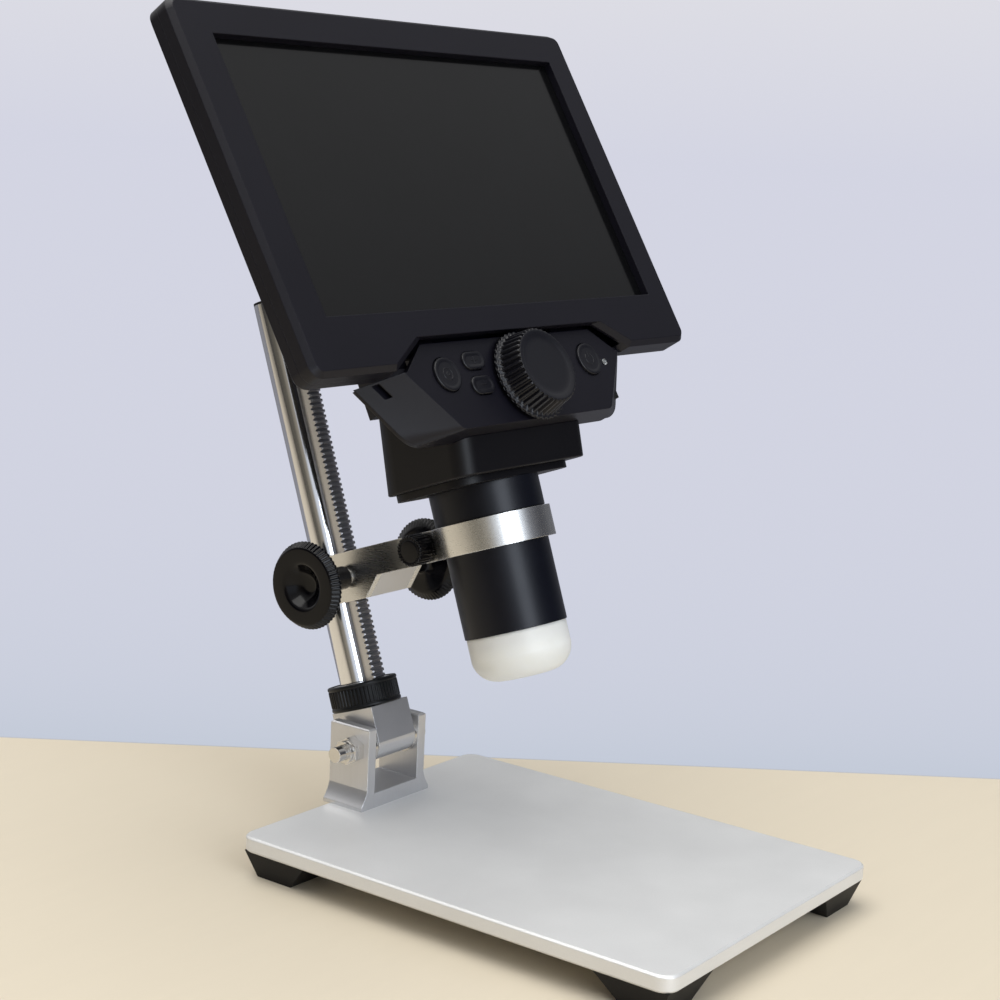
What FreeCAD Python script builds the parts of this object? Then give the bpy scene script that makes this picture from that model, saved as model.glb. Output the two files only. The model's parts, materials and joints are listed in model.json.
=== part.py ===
import FreeCAD, Part
import math
import os
from types import SimpleNamespace

import Sketcher
from FreeCAD import Placement, Rotation, Vector

# Desk microscope with a seven inch screen on a racked post.
# Row frame: millimetres, +Z up, the user sits on the -Y side, +X is the user's right.
# The origin is on the table, in the middle of the whole object's footprint.

# Driving dimensions, by group. Angles are in degrees.
SIZES = {
    # base plate and feet
    "plate_width": 118.6,
    "plate_depth": 159.4,
    "plate_thick": 5.1,
    "plate_corner": 5.0,
    "plate_bevel": 0.6,
    "foot_tall": 9.0,
    "foot_top": 25.0,
    "foot_bottom": 14.0,
    "foot_inset": 1.2,
    "foot_bottom_inset": 4.2,
    "foot_screw_shank": 1.5,
    "foot_screw_head": 2.9,
    "foot_screw_reach": 3.6,
    # clevis bracket
    "clevis_width": 29.2,
    "clevis_depth": 16.6,
    "clevis_overhang": 2.4,
    "clevis_ear": 3.7,
    "clevis_web": 5.0,
    "clevis_tall": 27.4,
    "clevis_flare": 2.8,
    "clevis_flare_tall": 6.5,
    "clevis_lip": 1.2,
    "clevis_bevel": 0.5,
    "clevis_screw_in": 7.1,
    "clevis_screw_gap": 15.0,
    "clevis_screw_shank": 2.0,
    "clevis_screw_head": 3.9,
    "clevis_screw_rise": 3.5,
    "bolt_from_rear": 8.0,
    "bolt_above_plate": 19.7,
    "bolt_shank": 2.5,
    "bolt_head": 4.6,
    "bolt_head_thick": 2.2,
    "bolt_stub": 4.2,
    "nut_flats": 8.0,
    "nut_thick": 4.0,
    "nut_collar": 3.6,
    "nut_collar_thick": 1.6,
    "washer_outer": 6.0,
    "washer_thick": 1.6,
    # post
    "post_lean": 19.491,
    "post_setback": 5.5,
    "block_front": 12.0,
    "block_rear": 5.8,
    "block_round": 6.6,
    "block_top": 12.07,
    "block_slope": 6.5,
    "spigot_tall": 14.0,
    "boss_centre": 1.9,
    "boss_radius": 9.85,
    "collar_wall": 1.9,
    "collar_tall": 8.6,
    "collar_bevel": 0.5,
    "tube_radius": 5.9,
    "tube_wall": 1.25,
    "tube_top": 151.37,
    "plug_tall": 6.0,
    "plug_lip": 0.8,
    "rack_half_width": 2.95,
    "rack_web_half": 1.8,
    "rack_web_out": 7.6,
    "rack_bevel": 0.5,
    "rack_tip": 10.8,
    "rack_pitch": 1.81,
    "rack_addendum": 0.5,
    "rack_dedendum": 0.75,
    "rack_plain_end": 7.0,
    "rack_top_gap": 3.0,
    "backlash": 0.2,
    "rack_screw_radius": 1.2,
    "rack_screw_head": 2.1,
    # carriage
    "arm_rise": 58.92,
    "arm_reach": 71.0,
    "arm_half_width": 11.5,
    "arm_plate": 2.5,
    "arm_rear": 10.0,
    "band_tall": 9.7,
    "block_drop": 11.35,
    "slant_start": 22.5,
    "slant_end": 29.5,
    "band_outer": 19.0,
    "band_bend": 1.0,
    "pinion_teeth": 21,
    "pinion_addendum": 0.6,
    "pinion_width": 7.4,
    "pinion_pocket": 7.45,
    "pinion_drop": 3.25,
    "shaft_radius": 2.5,
    "knob_radius": 14.3,
    "knob_outer_face": 33.3,
    "knob_ring": 30.3,
    "knob_back": 27.5,
    "knob_back_radius": 11.0,
    "knob_face_radius": 12.7,
    "knob_edge": 0.4,
    "knob_gap": 1.6,
    "knob_hub": 3.8,
    "knob_dish": 7.5,
    "knob_dish_floor": 3.6,
    "knob_dish_deep": 4.2,
    "shaft_in_knob": 0.5,
    "pad_radius": 2.6,
    "pad_long": 2.0,
    "arm_screw_radius": 1.5,
    "arm_screw_head": 2.7,
    "arm_screw_head_tall": 1.4,
    "arm_screw_reach": 4.0,
    "arm_screw_in": 3.2,
    "arm_screw_down": 7.2,
    "clamp_to_barrel": 19.8,
    "clamp_radius": 5.0,
    "clamp_head": 7.6,
    "clamp_shoulder": 3.4,
    "clamp_shoulder_thick": 0.7,
    "clamp_stud": 2.0,
    "clamp_nut_flats": 7.0,
    "clamp_nut_thick": 3.0,
    # barrel, about its own axis, heights from the middle of the clamp band
    "head_turn": -2.237,
    "barrel_radius": 16.43,
    "barrel_bore": 14.6,
    "barrel_bottom": 31.2,
    "barrel_top": 17.45,
    "sleeve_radius": 17.6,
    "spigot_radius": 15.2,
    "spigot_drop": 4.0,
    "cap_radius": 16.0,
    "cap_tall": 14.9,
    "cap_skirt": 7.5,
    "cap_round": 8.0,
    "cap_wall": 1.0,
    "cap_hole": 6.5,
    "led_count": 8,
    "led_circle": 10.6,
    "led_radius": 1.5,
    "led_tall": 1.4,
    "led_board_thick": 1.0,
    "led_board_rise": 2.6,
    "carrier_radius": 10.6,
    "carrier_bore": 8.6,
    "carrier_bottom": 21.0,
    "carrier_top": 14.0,
    "carrier_land": 3.0,
    "lens_thick": 3.4,
    "lens_ring": 1.5,
    "lens_bulge": 1.1,
    # neck box
    "neck_half_width": 31.0,
    "neck_bottom": 17.45,
    "neck_front_low": 20.6,
    "neck_front_high": 24.0,
    "neck_rear_low": 17.0,
    "neck_rear_high": 12.6,
    "neck_high": 48.0,
    "neck_corner_front": 6.0,
    "neck_corner_rear": 9.0,
    "neck_wall": 2.0,
    "neck_plate_thick": 2.3,
    "neck_plate_inset": 3.4,
    "neck_edge": 0.5,
    "sensor_rise": 46.0,
    "sensor_board_wide": 57.9,
    "sensor_board_front": 6.6,
    "sensor_board_rear": 3.6,
    "sensor_board_thick": 1.6,
    "sensor_side": 7.0,
    "sensor_thick": 1.4,
    # screen head: its lower edge above and in front of the barrel's frame, then sizes square to the screen
    "head_rise": 50.038,
    "head_forward": 27.901,
    "screen_lean": 12.02,
    "opening_width": 156.0,
    "opening_tall": 88.9,
    "border_left": 12.7,
    "border_right": 11.7,
    "border_top": 11.6,
    "border_bottom": 17.5,
    "head_thick": 9.9,
    "bezel_thick": 5.4,
    "bezel_face": 2.6,
    "head_corner": 4.0,
    "head_wall": 2.0,
    "rear_floor": 1.6,
    "front_bevel": 1.6,
    "rear_bevel": 1.2,
    "glass_margin": 3.0,
    "glass_thick": 1.0,
    "lcd_width": 164.0,
    "lcd_tall": 98.0,
    "lcd_thick": 3.4,
    "notch_tall": 9.2,
    "notch_low": 57.0,
    "notch_high": 42.0,
    # rear hump behind the screen
    "hump_half_width": 34.0,
    "hump_top": 4.0,
    "hump_step": 16.0,
    "hump_low_deep": 41.0,
    "hump_draft": 3.0,
    "hump_heel": 12.0,
    "battery_width": 56.0,
    "battery_tall": 34.0,
    "battery_thick": 7.0,
    "board_width": 76.0,
    "board_tall": 45.0,
    "board_thick": 1.2,
    "board_rise": 12.0,
    # control panel: heights are measured down from the head's lower edge
    "panel_deep": 3.2,
    "panel_tall": 19.45,
    "panel_face_high": 52.3,
    "panel_face_low": 36.4,
    "panel_rim_deep": 13.0,
    "panel_rim_high": 64.5,
    "panel_rim_low": 50.5,
    "panel_corner_rear": 10.0,
    "panel_corner_front": 3.0,
    "panel_wall": 1.8,
    "back_thick": 2.0,
    "back_inset": 1.6,
    "lid_thick": 2.0,
    "wheel_down": 6.05,
    "wheel_radius": 12.3,
    "wheel_skirt": 14.7,
    "wheel_proud": 6.8,
    "wheel_gap": 1.4,
    "focus_shaft": 2.0,
    "focus_teeth": 10,
    "focus_pitch": 2.513,
    "focus_addendum": 0.7,
    "focus_gear_deep": 19.5,
    "focus_gear_width": 2.0,
    "focus_backlash": 0.5,
    "focus_rack_half": 8.0,
    "focus_rack_drop": 11.5,
    "focus_rack_back": 2.2,
    "focus_rack_wide": 1.6,
    "round_button": 5.4,
    "round_button_out": 34.8,
    "round_button_down": 2.15,
    "oval_button_long": 10.0,
    "oval_button_tall": 5.8,
    "oval_button_out": 21.2,
    "oval_button_high": -1.35,
    "oval_button_low": 6.65,
    "button_proud": 0.9,
    "button_gap": 0.25,
    "button_travel": 0.8,
    "button_stem": 1.4,
    "button_flange": 0.9,
    "button_lip": 0.15,
    "switch_board_deep": 8.6,
    "switch_board_thick": 1.2,
    "switch_side": 4.5,
    "switch_tall": 1.5,
    "key_room": 44.0,
    "lamp_radius": 1.1,
    "lamp_out": 42.6,
    "lamp_down": 3.65,
    "port_wide": 4.4,
    "port_tall": 1.4,
    "port_inner": 42.0,
    "port_long": 8.0,
    "port_floor": 1.5,
    "port_depth": 9.2,
    "port_down": 2.85,
    "port_shell": 0.3,
    "card_wide": 11.0,
    "card_tall": 1.8,
    "card_down": 9.05,
    # fits
    "tooth_gap": 0.25,
    "running_gap": 0.05,
    "seat_gap": 0.02,
    "free_gap": 0.3,
}


class Size:
    """A length or angle that keeps its spreadsheet formula beside its value."""

    def __init__(self, value, formula):
        self.value = float(value)
        self.formula = formula

    def __float__(self):
        return self.value

    def __add__(self, other):
        other = as_size(other)
        return Size(self.value + other.value, f"({self.formula} + {other.formula})")

    def __radd__(self, other):
        return as_size(other) + self

    def __sub__(self, other):
        other = as_size(other)
        return Size(self.value - other.value, f"({self.formula} - {other.formula})")

    def __rsub__(self, other):
        return as_size(other) - self

    def __mul__(self, other):
        other = as_size(other)
        return Size(self.value * other.value, f"({self.formula} * {other.formula})")

    def __rmul__(self, other):
        return as_size(other) * self

    def __truediv__(self, other):
        other = as_size(other)
        return Size(self.value / other.value, f"({self.formula} / {other.formula})")

    def __neg__(self):
        return Size(-self.value, f"(-1 * {self.formula})")


def as_size(number):
    """Plain numbers join in Size arithmetic as they are."""
    if isinstance(number, Size):
        return number
    return Size(number, f"({float(number):.6f})")


def sine(angle):
    return Size(math.sin(math.radians(angle.value)), f"sin({angle.formula})")


def cosine(angle):
    return Size(math.cos(math.radians(angle.value)), f"cos({angle.formula})")


def bind(thing, name, size):
    """Ties one property of a document object to the sheet."""
    thing.setExpression(name, as_size(size).formula)


def spot(x=0, y=0, z=0):
    return Vector(float(x), float(y), float(z))


def shift(x=0, y=0, z=0):
    return Placement(spot(x, y, z), Rotation())


def turn(axis, degrees):
    return Placement(Vector(), Rotation(axis, float(degrees)))


# Screw heads: height over radius, and the socket's reach and depth over the head's.
HEAD_SHARE = 0.55
SOCKET_WIDE = 0.5
SOCKET_DEEP = 0.6
# Gear and rack flanks lean by this angle, in degrees.
PRESSURE_ANGLE = 20
# Points nearer than this count as the same.
TOUCH = 1e-6

ALONG_X = Vector(1, 0, 0)
ALONG_Y = Vector(0, 1, 0)
ALONG_Z = Vector(0, 0, 1)
# Turns a piece built along +Z so that it points along +X, -X or -Y.
TO_RIGHT = turn(ALONG_Y, 90)
TO_LEFT = turn(ALONG_Y, -90)
TO_FRONT = turn(ALONG_X, 90)

doc = FreeCAD.newDocument("Microscope")
sheet = doc.addObject("Spreadsheet::Sheet", "Sizes")
d = SimpleNamespace()
for row, (name, value) in enumerate(SIZES.items(), start=1):
    sheet.set(f"A{row}", name)
    sheet.set(f"B{row}", str(value))
    sheet.setAlias(f"B{row}", name)
    setattr(d, name, Size(value, f"Sizes.{name}"))
doc.recompute()

NODES = []


# Helpers for bodies


def origin_plane(body, role):
    for feature in body.Origin.OriginFeatures:
        if feature.Role == role:
            return feature
    raise ValueError(f"{body.Label} has no {role}")


class Piece:
    """A body whose sketches lie on its own origin planes at a named offset.

    top:   sketch x, y = body x, y, offset along +z
    front: sketch x, y = body x, z, offset along -y
    side:  sketch x, y = body y, z, offset along +x
    """

    ROLES = {"top": "XY_Plane", "front": "XZ_Plane", "side": "YZ_Plane"}

    def __init__(self, label, frame):
        self.label = label
        self.frame = frame
        self.body = doc.addObject("PartDesign::Body", label)
        self.body.Label = label
        self.body.AllowCompound = True

    def sketch(self, view, offset):
        sketch = self.body.newObject("Sketcher::SketchObject", f"{self.label}_sketch")
        sketch.AttachmentSupport = [(origin_plane(self.body, self.ROLES[view]), "")]
        sketch.MapMode = "FlatFace"
        bind(sketch, "AttachmentOffset.Base.z", offset)
        return sketch

    def outline(self, sketch, corners):
        """Closed outline. A corner is (x, y) or (x, y, radius, side): the stretch after it is an arc.

        side is +1 for an arc that bulges to the left of its chord and -1 to the right.
        """
        first = sketch.GeometryCount
        count = len(corners)
        for index, corner in enumerate(corners):
            after = corners[(index + 1) % count]
            start = spot(corner[0], corner[1])
            end = spot(after[0], after[1])
            if len(corner) == 2:
                sketch.addGeometry(Part.LineSegment(start, end), False)
            else:
                sketch.addGeometry(arc_between(start, end, corner[2], corner[3]), False)
        for index, corner in enumerate(corners):
            after = first + (index + 1) % count
            here = first + index
            flipped = len(corner) == 4 and corner[3] > 0
            after_corner = corners[(index + 1) % count]
            after_flipped = len(after_corner) == 4 and after_corner[3] > 0
            end_point = 1 if flipped else 2
            start_point = 2 if after_flipped else 1
            sketch.addConstraint(Sketcher.Constraint("Coincident", here, end_point, after, start_point))
            if len(corner) == 4:
                tie(sketch, Sketcher.Constraint("Radius", here, float(corner[2])), corner[2])
        for index, corner in enumerate(corners):
            flipped = len(corner) == 4 and corner[3] > 0
            pin(sketch, first + index, 2 if flipped else 1, corner[0], corner[1])

    def circle(self, sketch, x, y, radius):
        index = sketch.GeometryCount
        sketch.addGeometry(Part.Circle(spot(x, y), ALONG_Z, float(radius)), False)
        pin(sketch, index, 3, x, y)
        tie(sketch, Sketcher.Constraint("Radius", index, float(radius)), radius)

    def pad(self, view, low, high, *outlines, taper=None):
        sketch = self.draw(view, low, outlines)
        pad = self.body.newObject("PartDesign::Pad", f"{self.label}_pad")
        pad.Profile = sketch
        bind(pad, "Length", as_size(high) - low)
        if taper is not None:
            bind(pad, "TaperAngle", taper)
        return self.settle(pad)

    def pocket(self, view, low, high, *outlines):
        before = self.volume()
        sketch = self.draw(view, high, outlines)
        pocket = self.body.newObject("PartDesign::Pocket", f"{self.label}_pocket")
        pocket.Profile = sketch
        bind(pocket, "Length", as_size(high) - low)
        self.settle(pocket)
        if self.volume() >= before:
            raise ValueError(f"{self.label}: a pocket removed nothing")
        return pocket

    def revolve(self, corners):
        """Turns an outline in the front view about the body's z axis."""
        sketch = self.draw("front", 0, [corners])
        turned = self.body.newObject("PartDesign::Revolution", f"{self.label}_turned")
        turned.Profile = sketch
        turned.ReferenceAxis = (sketch, ["V_Axis"])
        turned.Angle = 360
        return self.settle(turned)

    def loft(self, view, low, high, first, last):
        lower = self.draw(view, low, [first])
        upper = self.draw(view, high, [last])
        loft = self.body.newObject("PartDesign::AdditiveLoft", f"{self.label}_loft")
        loft.Profile = lower
        loft.Sections = [upper]
        loft.Ruled = True
        return self.settle(loft)

    def draw(self, view, offset, outlines):
        sketch = self.sketch(view, offset)
        for outline in outlines:
            if isinstance(outline, tuple):
                self.circle(sketch, *outline)
            else:
                self.outline(sketch, outline)
        return sketch

    def fillet(self, radius, keep):
        return self.dress("PartDesign::Fillet", "Radius", radius, keep)

    def chamfer(self, size, keep):
        return self.dress("PartDesign::Chamfer", "Size", size, keep)

    def dress(self, kind, name, size, keep):
        tip = self.body.Tip
        edges = [f"Edge{i}" for i, edge in enumerate(tip.Shape.Edges, start=1) if keep(edge)]
        if not edges:
            raise ValueError(f"{self.label}: no edge to dress")
        dressed = self.body.newObject(kind, f"{self.label}_edges")
        dressed.Base = (tip, edges)
        bind(dressed, name, size)
        return self.settle(dressed)

    def settle(self, feature):
        self.body.Tip = feature
        doc.recompute()
        if "Invalid" in feature.State or "Error" in feature.State:
            raise ValueError(f"{self.label}: {feature.Name} failed")
        return feature

    def volume(self):
        return self.body.Shape.Volume

    def done(self):
        self.body.Placement = self.frame
        NODES.append(self.body)
        return self.body


def arc_between(start, end, radius, side):
    """Arc of a given radius over the chord, bulging to its left (+1) or right (-1)."""
    chord = end - start
    half = chord.Length / 2
    left = Vector(-chord.y, chord.x, 0) / chord.Length
    reach = math.sqrt(max(float(radius) ** 2 - half**2, 0.0))
    top = (start + end) / 2 + left * side * (float(radius) - reach)
    return Part.Arc(start, top, end)


def tie(sketch, constraint, size):
    index = sketch.addConstraint(constraint)
    bind(sketch, f"Constraints[{index}]", size)


def pin(sketch, geometry, point, x, y):
    """Fixes a sketch point at named distances from the sketch's origin."""
    for kind, axis, size in (("DistanceX", -2, x), ("DistanceY", -1, y)):
        size = as_size(size)
        if abs(size.value) < 1e-9:
            sketch.addConstraint(Sketcher.Constraint("PointOnObject", geometry, point, axis))
        else:
            tie(sketch, Sketcher.Constraint(kind, -1, 1, geometry, point, size.value), size)


def rectangle(x0, y0, x1, y1):
    return [(x0, y0), (x1, y0), (x1, y1), (x0, y1)]


def lies_along(edge, axis):
    """True for a straight edge parallel to an axis."""
    if not isinstance(edge.Curve, (Part.Line, Part.LineSegment)):
        return False
    run = edge.Vertexes[-1].Point - edge.Vertexes[0].Point
    return run.Length > 1e-6 and abs(abs(run.dot(axis)) / run.Length - 1) < 1e-6


# Helpers for primitives


def cylinder(name, radius, tall, place=None):
    solid = doc.addObject("Part::Cylinder", name)
    bind(solid, "Radius", radius)
    bind(solid, "Height", tall)
    solid.Placement = place or Placement()
    return solid


def prism(name, sides, circumradius, tall, place=None):
    solid = doc.addObject("Part::Prism", name)
    solid.Polygon = sides
    bind(solid, "Circumradius", circumradius)
    bind(solid, "Height", tall)
    solid.Placement = place or Placement()
    return solid


def slab(name, wide, deep, tall, place=None):
    """Box centred in x and y, standing on its local z = 0."""
    solid = doc.addObject("Part::Box", name)
    bind(solid, "Length", wide)
    bind(solid, "Width", deep)
    bind(solid, "Height", tall)
    solid.Placement = (place or Placement()) * shift(-as_size(wide) / 2, -as_size(deep) / 2)
    return solid


def fuse(name, *solids):
    joined = doc.addObject("Part::MultiFuse", name)
    joined.Shapes = list(solids)
    return joined


def cut(name, base, *tools):
    for index, tool in enumerate(tools):
        trimmed = doc.addObject("Part::Cut", f"{name}_{index}")
        trimmed.Base = base
        trimmed.Tool = tool
        base = trimmed
    return base


def group(name, solids):
    together = doc.addObject("Part::Compound", name)
    together.Links = list(solids)
    return together


def node(label, thing, frame):
    thing.Label = label
    thing.Placement = frame * thing.Placement
    NODES.append(thing)
    return thing


def shaped(label, shape, frame):
    """A piece whose form is a formula, such as a toothed rack."""
    feature = doc.addObject("Part::Feature", label)
    feature.Shape = shape
    feature.Label = label
    feature.Placement = frame
    NODES.append(feature)
    return feature


def copies(name, make, places):
    solids = []
    for index, place in enumerate(places):
        one = make(f"{name}_{index}")
        one.Placement = place * one.Placement
        solids.append(one)
    return group(name, solids)


# Frames of the object at rest

plate_underside = d.foot_tall
plate_top = d.foot_tall + d.plate_thick
pivot_from_middle = d.plate_depth / 2 - d.bolt_from_rear
pivot_height = plate_top + d.bolt_above_plate
post_rear_reach = (
    (d.post_setback + d.tube_radius) * cosine(d.post_lean) + d.tube_top * sine(d.post_lean)
)
# The footprint runs from the plate's front edge to the rear of the leaning post's top.
plate_middle = -(pivot_from_middle + post_rear_reach - d.plate_depth / 2) / 2
pivot_back = plate_middle + pivot_from_middle

# From the head's lower edge up to the middle of the screen's opening.
head_to_middle = d.opening_tall / 2 + d.border_bottom
screen_rise = d.head_rise + head_to_middle * cosine(d.screen_lean)
screen_forward = d.head_forward - head_to_middle * sine(d.screen_lean)
clamp_reach = d.arm_reach - d.clamp_to_barrel
collar_radius = d.boss_radius + d.running_gap + d.collar_wall

STAND = shift(0, plate_middle, 0)
PIVOT = shift(0, pivot_back, pivot_height) * turn(ALONG_X, -d.post_lean)
POST = PIVOT * shift(0, d.post_setback, 0)
ARM = POST * shift(0, 0, d.arm_rise)
BARREL = ARM * shift(0, -d.arm_reach, 0) * turn(ALONG_Z, d.head_turn)
SCREEN = BARREL * shift(0, -screen_forward, screen_rise) * turn(ALONG_X, -d.screen_lean)


# Stand


def foot_places():
    """Centre of each foot's top in the stand frame, with the signs of its corner."""
    out_x = d.plate_width / 2 - d.foot_inset - d.foot_top / 2
    out_y = d.plate_depth / 2 - d.foot_inset - d.foot_top / 2
    for side in (-1, 1):
        for end in (-1, 1):
            yield out_x * side, out_y * end, side, end


def base_plate():
    half_x = d.plate_width / 2
    half_y = d.plate_depth / 2
    piece = Piece("base_plate", STAND)
    piece.pad("top", plate_underside, plate_top, rectangle(-half_x, -half_y, half_x, half_y))
    piece.fillet(d.plate_corner, lambda edge: lies_along(edge, ALONG_Z))
    piece.chamfer(d.plate_bevel, lambda edge: edge.BoundBox.ZLength < 1e-6)
    holes = [(x, y, d.foot_screw_shank + d.seat_gap) for x, y, _, _ in foot_places()]
    piece.pocket("top", plate_underside, plate_underside + d.foot_screw_reach, *holes)
    rear = clevis_screw_line()
    half_gap = d.clevis_screw_gap / 2
    screws = [(half_gap * side, rear, d.clevis_screw_shank + d.seat_gap) for side in (-1, 1)]
    piece.pocket("top", plate_underside, plate_top, *screws)
    heads = [(half_gap * side, rear, d.clevis_screw_head + d.seat_gap) for side in (-1, 1)]
    piece.pocket("top", plate_underside, plate_underside + clevis_head_tall(), *heads)
    piece.done()


def clevis_screw_line():
    """How far behind the plate's middle the clevis screws stand."""
    return d.plate_depth / 2 - d.clevis_screw_in


def clevis_head_tall():
    return d.clevis_screw_head * HEAD_SHARE


def foot(name, x, y, side, end):
    """Tapered corner foot, set in further at the bottom, with a recess for its screw."""
    top = d.foot_top / 2
    bottom = d.foot_bottom / 2
    lean = d.foot_top / 2 - d.foot_bottom / 2 - (d.foot_bottom_inset - d.foot_inset)
    low_x = lean * side
    low_y = lean * end
    piece = Piece(name, shift(x, y, 0))
    low = rectangle(low_x - bottom, low_y - bottom, low_x + bottom, low_y + bottom)
    piece.loft("top", 0, d.foot_tall, low, rectangle(-top, -top, top, top))
    piece.pocket("top", 0, foot_recess(), (0, 0, d.foot_screw_head + d.running_gap))
    piece.pocket("top", 0, d.foot_tall, (0, 0, d.foot_screw_shank + d.running_gap))
    piece.body.Placement = piece.frame
    return piece.body


def feet():
    """Four feet, each a solid of its own."""
    solids = [foot(f"foot_{index}", *place) for index, place in enumerate(foot_places())]
    node("feet", group("feet", solids), STAND)


def foot_recess():
    return d.foot_tall * 0.45


def foot_screws():
    head_tall = d.foot_screw_head * HEAD_SHARE
    length = d.foot_tall - foot_recess() + d.foot_screw_reach + head_tall

    def one(name):
        shank = cylinder(f"{name}_shank", d.foot_screw_shank, length)
        head = cylinder(f"{name}_head", d.foot_screw_head, head_tall)
        cross = prism(f"{name}_socket", 6, d.foot_screw_head * SOCKET_WIDE, head_tall * SOCKET_DEEP)
        return cut(name, fuse(f"{name}_whole", head, shank), cross)

    start = foot_recess() - head_tall
    places = [shift(x, y, start) for x, y, _, _ in foot_places()]
    node("foot_screws", copies("foot_screws", one, places), STAND)


def clevis_bracket():
    """U shaped bracket with a flared foot, a little proud of the plate's rear edge."""
    half = d.clevis_width / 2
    inner = half - d.clevis_ear
    flare = half + d.clevis_flare
    rear = d.plate_depth / 2 + d.clevis_overhang
    front = rear - d.clevis_depth
    top = plate_top + d.clevis_tall
    web = plate_top + d.clevis_web
    knee = plate_top + d.clevis_flare_tall
    lip = plate_top + d.clevis_lip
    sweep = d.clevis_flare_tall * 2
    piece = Piece("clevis_bracket", STAND)
    outline = [
        (-flare, plate_top),
        (flare, plate_top),
        (flare, lip, sweep, 1),
        (half, knee),
        (half, top),
        (inner, top),
        (inner, web),
        (-inner, web),
        (-inner, top),
        (-half, top),
        (-half, knee, sweep, 1),
        (-flare, lip),
    ]
    piece.pad("front", -rear, -front, outline)
    hole = (pivot_from_middle, pivot_height, d.bolt_shank + d.running_gap)
    piece.pocket("side", -half, half, hole)
    middle = clevis_screw_line()
    half_gap = d.clevis_screw_gap / 2
    threads = [(half_gap * side, middle, d.clevis_screw_shank + d.seat_gap) for side in (-1, 1)]
    piece.pocket("top", plate_top, plate_top + d.clevis_screw_rise, *threads)
    piece.chamfer(d.clevis_bevel, lambda edge: edge.BoundBox.ZMin > float(top) - TOUCH)
    piece.done()


def clevis_screws():
    length = d.plate_thick + d.clevis_screw_rise
    middle = clevis_screw_line()

    def one(name):
        shank = cylinder(f"{name}_shank", d.clevis_screw_shank, length)
        head = cylinder(f"{name}_head", d.clevis_screw_head, clevis_head_tall())
        wide = d.clevis_screw_head * SOCKET_WIDE
        socket = prism(f"{name}_socket", 6, wide, clevis_head_tall() * SOCKET_DEEP)
        return cut(name, fuse(f"{name}_whole", head, shank), socket)

    places = [shift(d.clevis_screw_gap / 2 * side, middle, plate_underside) for side in (-1, 1)]
    node("clevis_screws", copies("clevis_screws", one, places), STAND)


def pivot_frame(x):
    return STAND * shift(x, pivot_from_middle, pivot_height)


def pivot_bolt():
    """Low headed bolt put in from the right, its end past the nut on the left."""
    half = d.clevis_width / 2
    left_end = half + d.nut_thick + d.nut_collar_thick + d.bolt_stub
    shank = cylinder("bolt_shank", d.bolt_shank, half + left_end)
    head = cylinder("bolt_head", d.bolt_head, d.bolt_head_thick, shift(0, 0, -d.bolt_head_thick))
    under = shift(0, 0, -d.bolt_head_thick)
    socket = prism("bolt_socket", 6, d.bolt_head * SOCKET_WIDE, d.bolt_head_thick * SOCKET_DEEP, under)
    bolt = cut("bolt", fuse("bolt_whole", shank, head), socket)
    node("pivot_bolt", bolt, pivot_frame(half) * TO_LEFT)


def pivot_nut():
    """Lock nut: a hexagon with a round collar on its outer side."""
    hexagon = prism("nut_hexagon", 6, d.nut_flats / 2 / math.cos(math.pi / 6), d.nut_thick)
    collar = cylinder("nut_collar", d.nut_collar, d.nut_thick + d.nut_collar_thick)
    bore = cylinder("nut_bore", d.bolt_shank + d.seat_gap, d.nut_thick + d.nut_collar_thick)
    nut = cut("nut", fuse("nut_whole", hexagon, collar), bore)
    node("pivot_nut", nut, pivot_frame(-d.clevis_width / 2) * TO_LEFT)


def pivot_washers():
    """One thin friction washer between the tilt block and each ear."""
    inner = d.clevis_width / 2 - d.clevis_ear

    def one(name):
        disc = cylinder(f"{name}_disc", d.washer_outer, d.washer_thick)
        hole = cylinder(f"{name}_hole", d.bolt_shank + d.running_gap, d.washer_thick)
        return cut(name, disc, hole)

    places = [shift(x) * TO_RIGHT for x in (-inner, inner - d.washer_thick)]
    node("pivot_washers", copies("pivot_washers", one, places), pivot_frame(0))


# Post


def block_half_width():
    return d.clevis_width / 2 - d.clevis_ear - d.washer_thick - d.running_gap


def tilt_block():
    """Tongue in the clevis that carries the post: heights are from the bolt, y from the post's axis."""
    bolt_y = -d.post_setback
    front = -d.block_front
    rear = d.block_rear
    half = block_half_width()
    back_knee = d.block_top - d.block_slope
    outline = [
        (front, 0, d.block_round, -1),
        (bolt_y + (bolt_y - front), 0),
        (rear, back_knee),
        (rear, d.block_top),
        (front, d.block_top),
    ]
    piece = Piece("tilt_block", POST)
    piece.pad("side", -half, half, outline)
    boss_top = d.block_top + d.collar_tall - d.free_gap
    boss_y = -d.boss_centre
    piece.pad("top", d.block_top, boss_top, (0, boss_y, d.boss_radius))
    # Room for the tube and the rack in the boss; the rack's side is open to the front.
    tube_room = d.tube_radius + d.seat_gap
    piece.pocket("top", d.block_top, boss_top, (0, 0, tube_room))
    rack_room = d.rack_half_width + d.running_gap * 2
    slot = rectangle(-rack_room, -(d.boss_centre + d.boss_radius + 1), rack_room, 0)
    piece.pocket("top", d.block_top, boss_top, slot)
    spigot = d.tube_radius - d.tube_wall - d.seat_gap
    piece.pad("top", d.block_top, d.block_top + d.spigot_tall, (0, 0, spigot))
    piece.pocket("side", -half, half, (bolt_y, 0, d.bolt_shank + d.running_gap))
    piece.done()


def locking_collar():
    inner = d.boss_radius + d.running_gap
    low = d.block_top + d.running_gap
    high = d.block_top + d.collar_tall
    piece = Piece("locking_collar", POST * shift(0, -d.boss_centre, 0))
    piece.revolve([(inner, low), (collar_radius, low), (collar_radius, high), (inner, high)])
    piece.chamfer(d.collar_bevel, lambda edge: edge.BoundBox.XMax > collar_radius.value - 1e-3)
    piece.done()


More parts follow.
